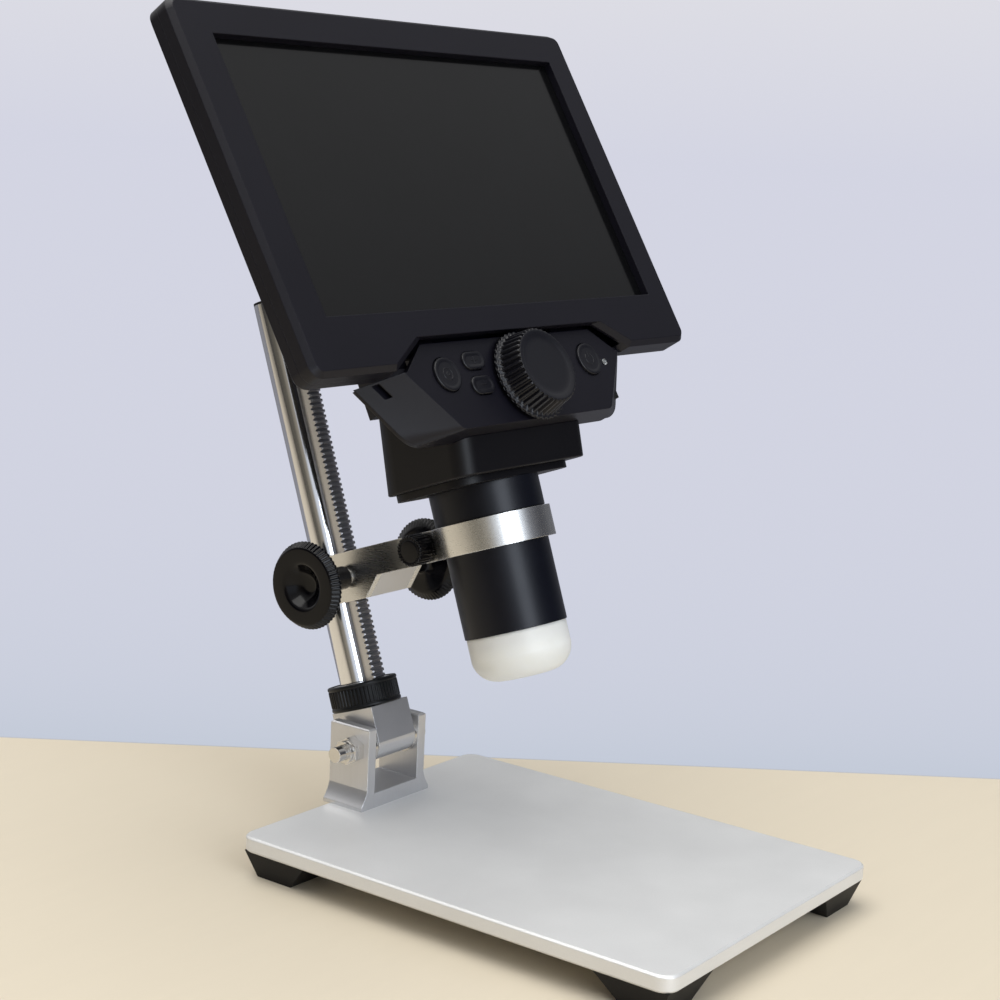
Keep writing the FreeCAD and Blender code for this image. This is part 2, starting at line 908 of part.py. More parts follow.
def post_tube():
    inner = d.tube_radius - d.tube_wall
    piece = Piece("post_tube", POST)
    outer = d.tube_radius
    piece.revolve([(inner, d.block_top), (outer, d.block_top), (outer, d.tube_top), (inner, d.tube_top)])
    # Threaded holes for the rack's two screws.
    for height in rack_screw_heights():
        piece.pocket("front", 0, outer + 1, (0, height, d.rack_screw_radius + d.seat_gap))
    piece.done()


def post_plug():
    """Cap that closes the tube's top."""
    inner = d.tube_radius - d.tube_wall - d.seat_gap
    low = d.tube_top - d.plug_tall
    high = d.tube_top + d.plug_lip
    outline = [
        (0, low),
        (inner, low),
        (inner, d.tube_top),
        (d.tube_radius, d.tube_top),
        (d.tube_radius, high),
        (0, high),
    ]
    piece = Piece("post_plug", POST)
    piece.revolve(outline)
    piece.done()


def rack_low():
    return d.block_top + d.running_gap


def rack_high():
    return d.tube_top - d.rack_top_gap


def rack_screw_heights():
    return (rack_low() + d.rack_plain_end / 2, rack_high() - d.rack_plain_end / 2)


def pinion_height():
    """The pinion's axis above the bolt, along the post, at rest."""
    return d.arm_rise - d.pinion_drop


def rack_profile(tip, addendum, dedendum, pitch, ends, toothed, phase, slack):
    """Points (out, along) of a toothed edge whose teeth point to +out.

    ends and toothed are (low, high); a tooth's middle lies at phase and whole teeth fill the toothed stretch.
    """
    pitch_line = tip - addendum
    root = pitch_line - dedendum
    lean = math.tan(math.radians(PRESSURE_ANGLE))
    foot_half = pitch / 4 - slack / 2 + dedendum * lean
    tip_half = pitch / 4 - slack / 2 - addendum * lean
    first = math.ceil((toothed[0] - phase) / pitch + 0.5)
    last = math.floor((toothed[1] - phase) / pitch - 0.5)
    points = [(tip, ends[0]), (tip, phase + (first - 1) * pitch + tip_half)]
    points.append((root, phase + (first - 1) * pitch + foot_half))
    for index in range(first, last + 1):
        middle = phase + index * pitch
        points.append((root, middle - foot_half))
        points.append((tip, middle - tip_half))
        points.append((tip, middle + tip_half))
        points.append((root, middle + foot_half))
    points.append((root, phase + (last + 1) * pitch - foot_half))
    points.append((tip, phase + (last + 1) * pitch - tip_half))
    points.append((tip, ends[1]))
    return points


def bevel_bar(x, front, size, low, high):
    """Three sided bar that takes off the long corner at x, size < 0 on the left."""
    corners = [Vector(x, front, low), Vector(x - size, front, low), Vector(x, front + abs(size), low)]
    return Part.Face(Part.makePolygon(corners + corners[:1])).extrude(Vector(0, 0, high - low))


def gear_rack():
    """Toothed bar in front of the tube, on a narrower web that is hollowed behind to sit on the tube."""
    low = rack_low().value
    high = rack_high().value
    plain = d.rack_plain_end.value
    points = rack_profile(
        d.rack_tip.value,
        d.rack_addendum.value,
        d.rack_dedendum.value,
        d.rack_pitch.value,
        (low, high),
        (low + plain, high - plain),
        pinion_height().value,
        d.backlash.value / 2,
    )
    half = d.rack_half_width.value
    outline = [Vector(-half, -out, along) for out, along in points]
    outline.append(Vector(-half, 0, high))
    outline.append(Vector(-half, 0, low))
    outline.append(outline[0])
    bar = Part.Face(Part.makePolygon(outline)).extrude(Vector(2 * half, 0, 0))
    tip = d.rack_tip.value
    gap = d.seat_gap.value
    room = Part.makeCylinder(d.tube_radius.value + gap, high - low + 2, Vector(0, 0, low - 1))
    bar = bar.cut(room)
    bar = bar.common(Part.makeBox(2 * half, tip, high - low, Vector(-half, -tip, low)))
    bar = max(bar.Solids, key=lambda solid: solid.Volume)
    web = d.rack_web_half.value
    step = d.rack_web_out.value
    bevel = d.rack_bevel.value
    for side in (-1, 1):
        groove_start = web if side > 0 else -web - half
        bar = bar.cut(Part.makeBox(half, step, high - low, Vector(groove_start, -step, low)))
        bar = bar.cut(bevel_bar(side * half, -tip, side * bevel, low, high))
    seat_start = tip - rack_screw_head_tall().value
    for height in rack_screw_heights():
        hole = Part.makeCylinder(d.rack_screw_radius.value + gap, tip + 1, spot(0, 0, height), -ALONG_Y)
        seat = Part.makeCylinder(d.rack_screw_head.value + gap, tip, spot(0, -seat_start, height), -ALONG_Y)
        bar = bar.cut(hole).cut(seat)
    shaped("gear_rack", bar, POST)


def rack_screw_head_tall():
    return d.rack_screw_head * HEAD_SHARE


def rack_screws():
    length = d.rack_tip - d.tube_radius + d.tube_wall - d.running_gap

    def one(name):
        shank = cylinder(f"{name}_shank", d.rack_screw_radius, length)
        head = cylinder(f"{name}_head", d.rack_screw_head, rack_screw_head_tall())
        wide = d.rack_screw_head * SOCKET_WIDE
        socket = prism(f"{name}_socket", 6, wide, rack_screw_head_tall() * SOCKET_DEEP)
        return cut(name, fuse(f"{name}_whole", head, shank), socket)

    to_rear = turn(ALONG_X, -90)
    places = [shift(0, -d.rack_tip, height) * to_rear for height in rack_screw_heights()]
    node("rack_screws", copies("rack_screws", one, places), POST)


# Carriage


def pinion_pitch_radius():
    return d.rack_pitch * d.pinion_teeth / (2 * math.pi)


def pinion_out():
    """The pinion's axis in front of the post's axis."""
    return d.rack_tip - d.rack_addendum + pinion_pitch_radius()


def arm_band():
    """One strip: two plates beside the post that close round the barrel as a ring."""
    half = d.arm_half_width
    inner = half - d.arm_plate
    ring_in = d.barrel_radius + d.running_gap
    ring_out = d.band_outer
    reach = -d.arm_reach
    out_y = reach + math.sqrt(ring_out.value**2 - half.value**2)
    in_y = reach + math.sqrt(ring_in.value**2 - inner.value**2)
    top = d.band_tall / 2
    bottom = -d.block_drop
    piece = Piece("arm_band", ARM)
    plates = [
        rectangle(-half, reach, -inner, d.arm_rear),
        rectangle(inner, reach, half, d.arm_rear),
    ]
    piece.pad("top", bottom, top, plates[0])
    piece.pad("top", bottom, top, plates[1])
    piece.pad("top", -top, top, (0, reach, ring_out))
    piece.fillet(d.band_bend, lambda edge: is_band_bend(edge, out_y.value, half.value))
    piece.pocket("top", -top, top, (0, reach, ring_in))
    piece.pocket("top", -top, top, rectangle(-inner, reach + ring_in / 2, inner, in_y + 0.5))
    low = bottom - 1
    front = reach - ring_out - 1
    below = [(-d.slant_start, low), (-d.slant_start, bottom), (-d.slant_end, -top)]
    below += [(front, -top), (front, low)]
    piece.pocket("side", -half - 1, half + 1, below)
    shaft = (-pinion_out(), -d.pinion_drop, d.shaft_radius + d.running_gap)
    stud = (-clamp_reach, 0, d.clamp_stud + d.running_gap)
    piece.pocket("side", -half - 1, half + 1, shaft, stud)
    screws = [(y, z, d.arm_screw_radius + d.seat_gap) for y, z in arm_screw_spots()]
    piece.pocket("side", -half - 1, half + 1, *screws)
    piece.done()


def is_band_bend(edge, y, half):
    """The inner corners where a plate meets the ring."""
    if not lies_along(edge, ALONG_Z):
        return False
    point = edge.Vertexes[0].Point
    return abs(point.y - y) < 0.01 and abs(abs(point.x) - half) < 0.01


def arm_screw_spots():
    """Where the band is screwed to the guide block, as (y, z) in the arm frame."""
    out = d.arm_rear - d.arm_screw_in
    return ((out, 0), (out, -d.arm_screw_down))


def guide_block():
    """Block between the plates that slides on the tube and houses the pinion."""
    half = d.arm_half_width - d.arm_plate
    top = d.band_tall / 2
    bottom = -d.block_drop
    piece = Piece("guide_block", ARM)
    outline = [(d.arm_rear, bottom), (d.arm_rear, top), (-d.slant_end, top)]
    outline += [(-d.slant_end, -top), (-d.slant_start, bottom)]
    piece.pad("side", -half, half, outline)
    piece.pocket("top", bottom, top, (0, 0, d.tube_radius + d.running_gap))
    rack_room = d.rack_half_width + d.free_gap
    piece.pocket("top", bottom, top, rectangle(-rack_room, -(d.rack_tip + d.free_gap), rack_room, 0))
    pocket_half = d.pinion_width / 2 + d.free_gap
    axis = (-pinion_out(), -d.pinion_drop)
    piece.pocket("side", -pocket_half, pocket_half, (axis[0], axis[1], d.pinion_pocket))
    piece.pocket("side", -half, half, (axis[0], axis[1], d.shaft_radius + d.running_gap))
    threads = [(y, z, d.arm_screw_radius + d.seat_gap) for y, z in arm_screw_spots()]
    thread_deep = d.arm_screw_reach + d.knob_edge / 2
    piece.pocket("side", -half, -half + thread_deep, *threads)
    piece.pocket("side", half - thread_deep, half, *threads)
    brake = (0, -d.pinion_drop, d.pad_radius + d.seat_gap)
    piece.pocket("front", -d.arm_rear, -d.tube_radius, brake)
    piece.done()


def arm_screws():
    """Four small screws through the plates into the guide block."""

    def one(name):
        tall = d.arm_screw_head_tall
        under = shift(0, 0, -tall)
        shank = cylinder(f"{name}_shank", d.arm_screw_radius, d.arm_plate + d.arm_screw_reach)
        head = cylinder(f"{name}_head", d.arm_screw_head, tall, under)
        socket = prism(f"{name}_socket", 6, d.arm_screw_head * SOCKET_WIDE, tall * SOCKET_DEEP, under)
        return cut(name, fuse(f"{name}_whole", head, shank), socket)

    places = []
    for y, z in arm_screw_spots():
        places.append(shift(-d.arm_half_width, y, z) * TO_RIGHT)
        places.append(shift(d.arm_half_width, y, z) * TO_LEFT)
    node("arm_screws", copies("arm_screws", one, places), ARM)


def brake_frame():
    return ARM * shift(0, 0, -d.pinion_drop)


def brake_pad():
    """Soft plug behind the tube that the set screw presses on it, so the carriage stays put."""
    place = shift(0, d.tube_radius + d.running_gap, 0) * turn(ALONG_X, -90)
    node("brake_pad", cylinder("pad_whole", d.pad_radius, d.pad_long, place), brake_frame())


def brake_screw():
    start = d.tube_radius + d.running_gap + d.pad_long
    length = d.arm_rear - start
    place = shift(0, start, 0) * turn(ALONG_X, -90)
    rod = cylinder("brake_rod", d.pad_radius, length, place)
    socket = prism("brake_socket", 6, d.pad_radius * 0.5, length * 0.5, place * shift(0, 0, length * 0.5))
    node("brake_screw", cut("brake", rod, socket), brake_frame())


def gear_outline(teeth, pitch, addendum, dedendum, slack, steps=4):
    """Involute gear outline about the origin, one gap's middle on the +x axis."""
    pitch_radius = pitch * teeth / (2 * math.pi)
    base = pitch_radius * math.cos(math.radians(PRESSURE_ANGLE))
    tip = pitch_radius + addendum
    root = pitch_radius - dedendum
    half_angle = math.pi / (2 * teeth) - slack / (2 * pitch_radius)

    def flank(radius):
        """Angle of the flank from the tooth's middle at a radius."""
        if radius <= base:
            radius = base
        roll = math.sqrt((radius / base) ** 2 - 1)
        roll_pitch = math.sqrt((pitch_radius / base) ** 2 - 1)
        involute = roll - math.atan(roll)
        involute_pitch = roll_pitch - math.atan(roll_pitch)
        return half_angle + involute_pitch - involute

    start = max(base, root)
    radii = [root] if root < base else []
    radii += [start + (tip - start) * step / steps for step in range(steps + 1)]
    points = []
    for tooth in range(teeth):
        middle = 2 * math.pi * (tooth + 0.5) / teeth
        for radius in radii:
            angle = middle - flank(radius)
            points.append(Vector(radius * math.cos(angle), radius * math.sin(angle), 0))
        for radius in reversed(radii):
            angle = middle + flank(radius)
            points.append(Vector(radius * math.cos(angle), radius * math.sin(angle), 0))
    points.append(points[0])
    return Part.Face(Part.makePolygon(points))


def pinion_gear():
    """Its gap faces the rack, because the rack has a tooth at the pinion's height."""
    width = d.pinion_width.value
    face = gear_outline(
        int(d.pinion_teeth.value),
        d.rack_pitch.value,
        d.pinion_addendum.value,
        d.rack_addendum.value + d.tooth_gap.value,
        d.backlash.value / 2,
    )
    gear = face.extrude(Vector(0, 0, width))
    bore = Part.makeCylinder(d.shaft_radius.value + d.seat_gap.value, width)
    place = shift(-width / 2) * TO_RIGHT * turn(ALONG_Z, 90)
    shaped("pinion_gear", gear.cut(bore), ARM * shift(0, -pinion_out(), -d.pinion_drop) * place)


def pinion_frame():
    return ARM * shift(0, -pinion_out(), -d.pinion_drop)


def pinion_shaft():
    half = d.knob_back + d.shaft_in_knob
    shaft = cylinder("shaft_whole", d.shaft_radius, half * 2, shift(-half) * TO_RIGHT)
    node("pinion_shaft", shaft, pinion_frame())


def lift_knob(label, side):
    """Dished hand knob, widest at a ring near its back, on a slim hub that reaches to the arm's plate."""
    hub_start = d.arm_half_width + d.knob_gap
    face = d.knob_outer_face
    dish = face - d.knob_dish_deep
    bore = d.shaft_radius + d.seat_gap
    bore_end = d.knob_back + d.shaft_in_knob + d.running_gap
    outline = [
        (0, dish),
        (0, bore_end),
        (bore, bore_end),
        (bore, hub_start),
        (d.knob_hub, hub_start),
        (d.knob_hub, d.knob_back),
        (d.knob_back_radius, d.knob_back),
        (d.knob_radius, d.knob_ring),
        (d.knob_face_radius, face),
        (d.knob_dish, face),
        (d.knob_dish_floor, dish),
    ]
    aim = TO_RIGHT if side > 0 else TO_LEFT
    piece = Piece(label, pinion_frame() * aim)
    piece.revolve(outline)
    ring = d.knob_radius.value - 1e-3
    piece.fillet(d.knob_edge, lambda edge: edge.BoundBox.XMax > ring and edge.BoundBox.ZLength < TOUCH)
    piece.done()


def clamp_screw():
    """Knurled hand screw that draws the ring tight round the barrel."""
    half = d.arm_half_width
    stud_long = half * 2 + d.clamp_nut_thick + 0.8
    head_start = half + d.running_gap
    outline = [
        (0, head_start + d.clamp_head),
        (0, head_start - stud_long),
        (d.clamp_stud, head_start - stud_long),
        (d.clamp_stud, head_start),
        (d.clamp_shoulder, head_start),
        (d.clamp_shoulder, head_start + d.clamp_shoulder_thick),
        (d.clamp_radius, head_start + d.clamp_shoulder_thick),
        (d.clamp_radius, head_start + d.clamp_head),
    ]
    piece = Piece("clamp_screw", ARM * shift(0, -clamp_reach, 0) * TO_LEFT)
    piece.revolve(outline)
    outermost = d.clamp_radius.value - 1e-3
    piece.chamfer(0.5, lambda edge: edge.BoundBox.XMax > outermost and edge.BoundBox.ZLength < 1e-6)
    piece.done()


def clamp_nut():
    hexagon = prism("clamp_hexagon", 6, d.clamp_nut_flats / 2 / math.cos(math.pi / 6), d.clamp_nut_thick)
    bore = cylinder("clamp_bore", d.clamp_stud + d.running_gap, d.clamp_nut_thick)
    frame = ARM * shift(d.arm_half_width, -clamp_reach, 0) * TO_RIGHT
    node("clamp_nut", cut("clamp_hex", hexagon, bore), frame)


# Optical barrel, in the barrel frame


def barrel_tube():
    """Black tube in the clamp band. Its lower end steps in as a spigot for the cap."""
    shoulder = -d.barrel_bottom
    low = shoulder - d.spigot_drop
    piece = Piece("barrel_tube", BARREL)
    piece.revolve([
        (d.barrel_bore, low),
        (d.spigot_radius, low),
        (d.spigot_radius, shoulder),
        (d.barrel_radius, shoulder),
        (d.barrel_radius, d.barrel_top),
        (d.barrel_bore, d.barrel_top),
    ])
    piece.done()


def barrel_sleeve():
    """Collar under the neck box that the tube is screwed into."""
    low = d.band_tall / 2 + d.free_gap
    high = d.neck_bottom - d.neck_plate_thick
    inner = d.barrel_radius + d.seat_gap
    piece = Piece("barrel_sleeve", BARREL)
    piece.revolve([(inner, low), (d.sleeve_radius, low), (d.sleeve_radius, high), (inner, high)])
    piece.done()


def diffuser_cap():
    """Milky cup over the lamp ring with a round window for the lens."""
    top = -d.barrel_bottom
    skirt = top - d.cap_skirt
    low = top - d.cap_tall
    outer = d.cap_radius
    inner = d.spigot_radius + d.running_gap
    tread = outer - d.cap_round
    wall = d.cap_wall
    floor = low + wall
    inner_tread = tread - 0.2
    seat = top - d.spigot_drop - d.free_gap
    bell = d.cap_round.value
    rise = float(skirt - low)
    outer_arc = (rise**2 + bell**2) / (2 * bell) if rise > bell else (rise**2 + bell**2) / (2 * rise)
    piece = Piece("diffuser_cap", BARREL)
    piece.revolve([
        (d.cap_hole, floor),
        (d.cap_hole, low),
        (tread, low, outer_arc, -1),
        (outer, skirt),
        (outer, top - d.seat_gap),
        (inner, top - d.seat_gap),
        (inner, seat),
        (inner - 0.6, seat - 0.6),
        (inner - 0.6, skirt, outer_arc, 1),
        (inner_tread, floor),
    ])
    piece.done()


def lamp_board():
    """Ring board that carries the lamps round the lens."""
    low = -d.barrel_bottom - d.spigot_drop + d.led_board_rise
    outer = d.barrel_bore - d.seat_gap
    inner = d.carrier_bore - 1.0
    high = low + d.led_board_thick
    piece = Piece("lamp_board", BARREL)
    piece.revolve([(inner, low), (outer, low), (outer, high), (inner, high)])
    piece.done()


def lamps():
    top = -d.barrel_bottom - d.spigot_drop + d.led_board_rise
    places = []
    for index in range(int(d.led_count.value)):
        angle = 2 * math.pi * index / d.led_count.value
        x = d.led_circle * math.cos(angle)
        y = d.led_circle * math.sin(angle)
        places.append(shift(x, y, top - d.led_tall))
    node("lamps", copies("lamps", lambda name: cylinder(name, d.led_radius, d.led_tall), places), BARREL)


def lens_carrier():
    """Inner tube that the focus wheel raises and lowers, running on two lands in the barrel's bore."""
    low = -d.carrier_bottom
    high = d.carrier_top
    land = d.barrel_bore - d.running_gap
    outer = d.carrier_radius
    inner = d.carrier_bore
    lens_seat = low + d.lens_ring + d.lens_thick
    piece = Piece("lens_carrier", BARREL)
    piece.revolve([
        (inner, low),
        (land, low),
        (land, low + d.carrier_land),
        (outer, low + d.carrier_land),
        (outer, high - d.carrier_land),
        (land, high - d.carrier_land),
        (land, high),
        (inner - 1.2, high),
        (inner - 1.2, lens_seat),
        (inner, lens_seat),
    ])
    piece.done()


def objective_lens():
    """Biconvex glass held between the carrier's shoulder and the lens ring."""
    low = -d.carrier_bottom + d.lens_ring
    high = low + d.lens_thick
    rim = d.carrier_bore - d.seat_gap
    sag = d.lens_bulge
    middle_low = low + sag
    middle_high = high - sag
    arc = (rim.value**2 + sag.value**2) / (2 * sag.value)
    piece = Piece("objective_lens", BARREL)
    piece.revolve([
        (0, low, arc, -1),
        (rim, middle_low),
        (rim, middle_high, arc, -1),
        (0, high),
    ])
    piece.done()


def lens_ring():
    low = -d.carrier_bottom
    inner = d.carrier_bore - 2.0
    outer = d.carrier_bore - d.seat_gap
    piece = Piece("lens_ring", BARREL)
    high = low + d.lens_ring
    piece.revolve([(inner, low), (outer, low), (outer, high), (inner, high)])
    piece.done()


def focus_lead():
    """How far the wheel's axis lies in front of the barrel's axis at the pinion, with its height."""
    down = below_head(d.wheel_down)
    deep = d.focus_gear_deep
    out = screen_forward - deep * cosine(d.screen_lean) - down * sine(d.screen_lean)
    rise = screen_rise - deep * sine(d.screen_lean) + down * cosine(d.screen_lean)
    return out, rise


def focus_pitch_radius():
    return d.focus_pitch * d.focus_teeth / (2 * math.pi)


def focus_rack():
    """Toothed bar that stands on the lens carrier, beside the focus pinion."""
    out, rise = focus_lead()
    pitch_radius = focus_pitch_radius().value
    addendum = d.focus_addendum.value
    dedendum = addendum + d.tooth_gap.value
    low = d.carrier_top.value
    high = rise.value + d.focus_rack_half.value
    # The gear stands square to the screen and the rack along the barrel, so the rack's pitch is shorter.
    pitch = d.focus_pitch.value * math.cos(math.radians(d.screen_lean.value))
    points = rack_profile(
        addendum - pitch_radius,
        addendum,
        dedendum,
        pitch,
        (low, high),
        (rise.value - d.focus_rack_drop.value, high),
        rise.value,
        d.focus_backlash.value / 2,
    )
    half = d.focus_rack_wide.value
    back = pitch_radius + dedendum + d.focus_rack_back.value
    front = -(out.value + half)
    outline = [Vector(-reach, front, along) for reach, along in points]
    outline.append(Vector(back, front, high))
    outline.append(Vector(back, front, low))
    outline.append(outline[0])
    bar = Part.Face(Part.makePolygon(outline)).extrude(Vector(0, 2 * half, 0))
    shaped("focus_rack", bar, BARREL)


# Neck box, in the barrel frame


def neck_corner(edge, half):
    """An upright corner of the neck box."""
    if edge.BoundBox.ZLength < 3:
        return False
    point = edge.Vertexes[0].Point
    return abs(abs(point.x) - half) < 0.01


def neck_outline(inset, floor):
    """Side view of the neck box, as (y, z)."""
    bottom = d.neck_bottom + floor
    return [
        (-d.neck_front_low + inset, bottom),
        (d.neck_rear_low - inset, bottom),
        (d.neck_rear_high - inset, d.neck_high),
        (-d.neck_front_high + inset, d.neck_high),
    ]


def neck_housing():
    """Box between the screen head and the barrel, open at the top, with a floor the barrel stands against."""
    half = d.neck_half_width
    wall = d.neck_wall
    inner = half - wall
    piece = Piece("neck_housing", BARREL)
    piece.pad("side", -half, half, neck_outline(as_size(0), as_size(0)))
    piece.pocket("side", -inner, inner, neck_outline(wall, wall))
    round_neck(piece, inner, d.neck_corner_front - wall, d.neck_corner_rear - wall)
    round_neck(piece, half, d.neck_corner_front, d.neck_corner_rear)
    floor = d.neck_bottom.value + TOUCH
    piece.fillet(d.neck_edge, lambda edge: edge.BoundBox.ZMax < floor)
    piece.pocket("top", d.neck_bottom, d.neck_bottom + wall, (0, 0, d.barrel_bore + d.free_gap))
    piece.pocket("side", -half - 1, half + 1, above_neck())
    piece.done()


def round_neck(piece, half, front, rear):
    """Rounds the upright edges that lie at a half width."""
    piece.fillet(front, lambda edge: neck_corner(edge, half.value) and edge.Vertexes[0].Point.y < 0)
    piece.fillet(rear, lambda edge: neck_corner(edge, half.value) and edge.Vertexes[0].Point.y > 0)


def above_neck():
    """Side view room over the neck box: under the control panel, behind it and under the head."""
    under_panel = below_head(d.panel_tall) - d.running_gap
    under_head = head_bottom()
    behind_panel = d.panel_rim_deep + d.back_thick + d.running_gap
    front = as_size(-10)
    rear = d.hump_low_deep + 12
    top = under_head + 40
    corners = [(front, under_panel), (behind_panel, under_panel), (behind_panel, under_head)]
    corners += [(rear, under_head), (rear, top), (front, top)]
    return [screen_to_barrel(deep, up) for deep, up in corners]


def screen_to_barrel(deep, up):
    """Side view point (y, z) in the barrel frame of a point (depth, height) of the screen frame."""
    y = -screen_forward + deep * cosine(d.screen_lean) + up * sine(d.screen_lean)
    z = screen_rise - deep * sine(d.screen_lean) + up * cosine(d.screen_lean)
    return y, z


def neck_plate():
    """Thin plate that closes the neck box and carries the tube."""
    half = d.neck_half_width - d.neck_plate_inset
    front = d.neck_front_low - d.neck_plate_inset
    rear = d.neck_rear_low - 0.2
    top = d.neck_bottom
    low = top - d.neck_plate_thick
    piece = Piece("neck_plate", BARREL)
    piece.pad("top", low, top, rectangle(-half, -front, half, rear))
    piece.fillet(d.neck_corner_rear, lambda edge: lies_along(edge, ALONG_Z))
    piece.pocket("top", low, top, (0, 0, d.barrel_radius + d.seat_gap))
    piece.done()


def sensor_board():
    deep = d.sensor_board_front + d.sensor_board_rear
    middle = (d.sensor_board_rear - d.sensor_board_front) / 2
    place = shift(0, middle, d.sensor_rise)
    board = slab("sensor_slab", d.sensor_board_wide, deep, d.sensor_board_thick, place)
    node("sensor_board", board, BARREL)


def image_sensor():
    chip = slab("sensor_chip", d.sensor_side, d.sensor_side, d.sensor_thick, shift(0, 0, d.sensor_rise - d.sensor_thick))
    node("image_sensor", chip, BARREL)


# Screen head, in the screen frame: x to the right, y into the screen, z up the screen


def head_left():
    return -(d.opening_width / 2 + d.border_left)


def head_right():
    return d.opening_width / 2 + d.border_right


def head_top():
    return d.opening_tall / 2 + d.border_top


def head_bottom():
    return -head_to_middle


def below_head(down):
    """Height in the screen frame of a point below the head's lower edge."""
    return head_bottom() - down


def corner_of_head(edge):
    """The four outer corners of the head's outline, seen from the front."""
    if not lies_along(edge, ALONG_Y):
        return False
    point = edge.Vertexes[0].Point
    at_side = min(abs(point.x - head_left().value), abs(point.x - head_right().value)) < 0.01
    at_end = min(abs(point.z - head_top().value), abs(point.z - head_bottom().value)) < 0.01
    return at_side and at_end


def front_bezel():
    """Front frame: a face with a bevelled window, short walls and a notch over the controls."""
    half_x = d.opening_width / 2
    half_z = d.opening_tall / 2
    bottom = head_bottom()
    piece = Piece("front_bezel", SCREEN)
    piece.pad("front", -d.bezel_thick, 0, rectangle(head_left(), bottom, head_right(), head_top()))
    piece.fillet(d.head_corner, corner_of_head)
    wall = d.head_wall
    cavity = rectangle(head_left() + wall, bottom + wall, head_right() - wall, head_top() - wall)
    piece.pocket("front", -d.bezel_thick, -d.bezel_face, cavity)
    piece.pocket("front", -d.bezel_face, 0, rectangle(-half_x, -half_z, half_x, half_z))
    notch = [
        (-d.notch_low, bottom - 1),
        (-d.notch_low, bottom),
        (-d.notch_high, bottom + d.notch_tall),
        (d.notch_high, bottom + d.notch_tall),
        (d.notch_low, bottom),
        (d.notch_low, bottom - 1),
    ]
    piece.pocket("front", -d.bezel_thick, 0, notch)
    piece.chamfer(d.front_bevel, is_front_rim)
    piece.done()


def is_front_rim(edge):
    """Edges of the front face that follow the head's outline."""
    box = edge.BoundBox
    if box.YLength > 1e-6 or abs(box.YMin) > 1e-6:
        return False
    on_left = abs(box.XMin - head_left().value) < 1e-3
    on_right = abs(box.XMax - head_right().value) < 1e-3
    on_top = abs(box.ZMax - head_top().value) < 1e-3
    on_bottom = abs(box.ZMin - head_bottom().value) < 1e-3
    return on_left or on_right or on_top or on_bottom


def rear_cover():
    """Rear tray of the head with a wedge shaped hump that leads down to the neck box."""
    wall = d.head_wall
    bottom = head_bottom()
    deep = d.head_thick
    hump_half = d.hump_half_width
    piece = Piece("rear_cover", SCREEN)
    tray_front = d.bezel_thick
    piece.pad("front", -deep, -tray_front, rectangle(head_left(), bottom, head_right(), head_top()))
    piece.fillet(d.head_corner, corner_of_head)
    piece.chamfer(d.rear_bevel, lambda edge: edge.BoundBox.YMin > deep.value - TOUCH)
    root = deep - d.rear_bevel - d.free_gap
    hump = [
        (root, bottom),
        (d.hump_low_deep, bottom),
        (d.hump_low_deep - 1, bottom + d.hump_heel),
        (d.hump_step, d.hump_top - 6),
        (deep, d.hump_top),
        (root, d.hump_top),
    ]
    piece.pad("side", -hump_half, hump_half, hump)
    # The hump's sides draw in towards the back.
    for side in (-1, 1):
        edge = hump_half * side
        out = edge + side
        draw_in = edge - d.hump_draft * side
        wedge = [(edge, deep + 1), (out, deep + 1), (out, d.hump_low_deep + 1), (draw_in, d.hump_low_deep + 1)]
        piece.pocket("top", bottom - 1, d.hump_top + 1, wedge)
    inner_deep = deep - d.rear_floor
    tray = rectangle(head_left() + wall, bottom + wall, head_right() - wall, head_top() - wall)
    piece.pocket("front", -inner_deep, -tray_front, tray)
    inner = [
        (deep - 3, bottom - 1),
        (d.hump_low_deep - wall, bottom - 1),
        (d.hump_low_deep - wall - 1, bottom + d.hump_heel),
        (d.hump_step - wall, d.hump_top - 6 - wall),
        (deep - 3, d.hump_top - wall - 2),
    ]
    inner_half = hump_half - d.hump_draft - wall
    piece.pocket("side", -inner_half, inner_half, inner)
    # Room over the switch board, inside the control panel.
    piece.pocket("front", -deep - 1.1, -tray_front, rectangle(-d.key_room, bottom - 1, d.key_room, bottom + 6))
    piece.done()


def screen_glass():
    """Dark cover glass set behind the bezel's window."""
    wide = d.opening_width + d.glass_margin * 2
    tall = d.opening_tall + d.glass_margin * 2
    place = shift(0, d.bezel_face + d.glass_thick, 0) * TO_FRONT
    node("screen_glass", slab("glass_slab", wide, tall, d.glass_thick, place), SCREEN)


def lcd_panel():
    start = d.bezel_face + d.glass_thick
    place = shift(0, start + d.lcd_thick, 0) * TO_FRONT
    node("lcd_panel", slab("lcd_slab", d.lcd_width, d.lcd_tall, d.lcd_thick, place), SCREEN)


def board_deep():
    """The main board lies on the back of the display."""
    return d.bezel_face + d.glass_thick + d.lcd_thick


def main_board():
    middle = head_bottom() + d.board_tall / 2 + d.board_rise
    place = shift(0, board_deep() + d.board_thick, middle) * TO_FRONT
    node("main_board", slab("board_slab", d.board_width, d.board_tall, d.board_thick, place), SCREEN)


def battery():
    middle = head_bottom() + d.battery_tall / 2 + 12
    start = board_deep() + d.board_thick
    place = shift(0, start + d.battery_thick, middle) * TO_FRONT
    pack = slab("battery_slab", d.battery_width, d.battery_tall, d.battery_thick, place)
    node("battery", pack, SCREEN)


# Control panel, in the screen frame


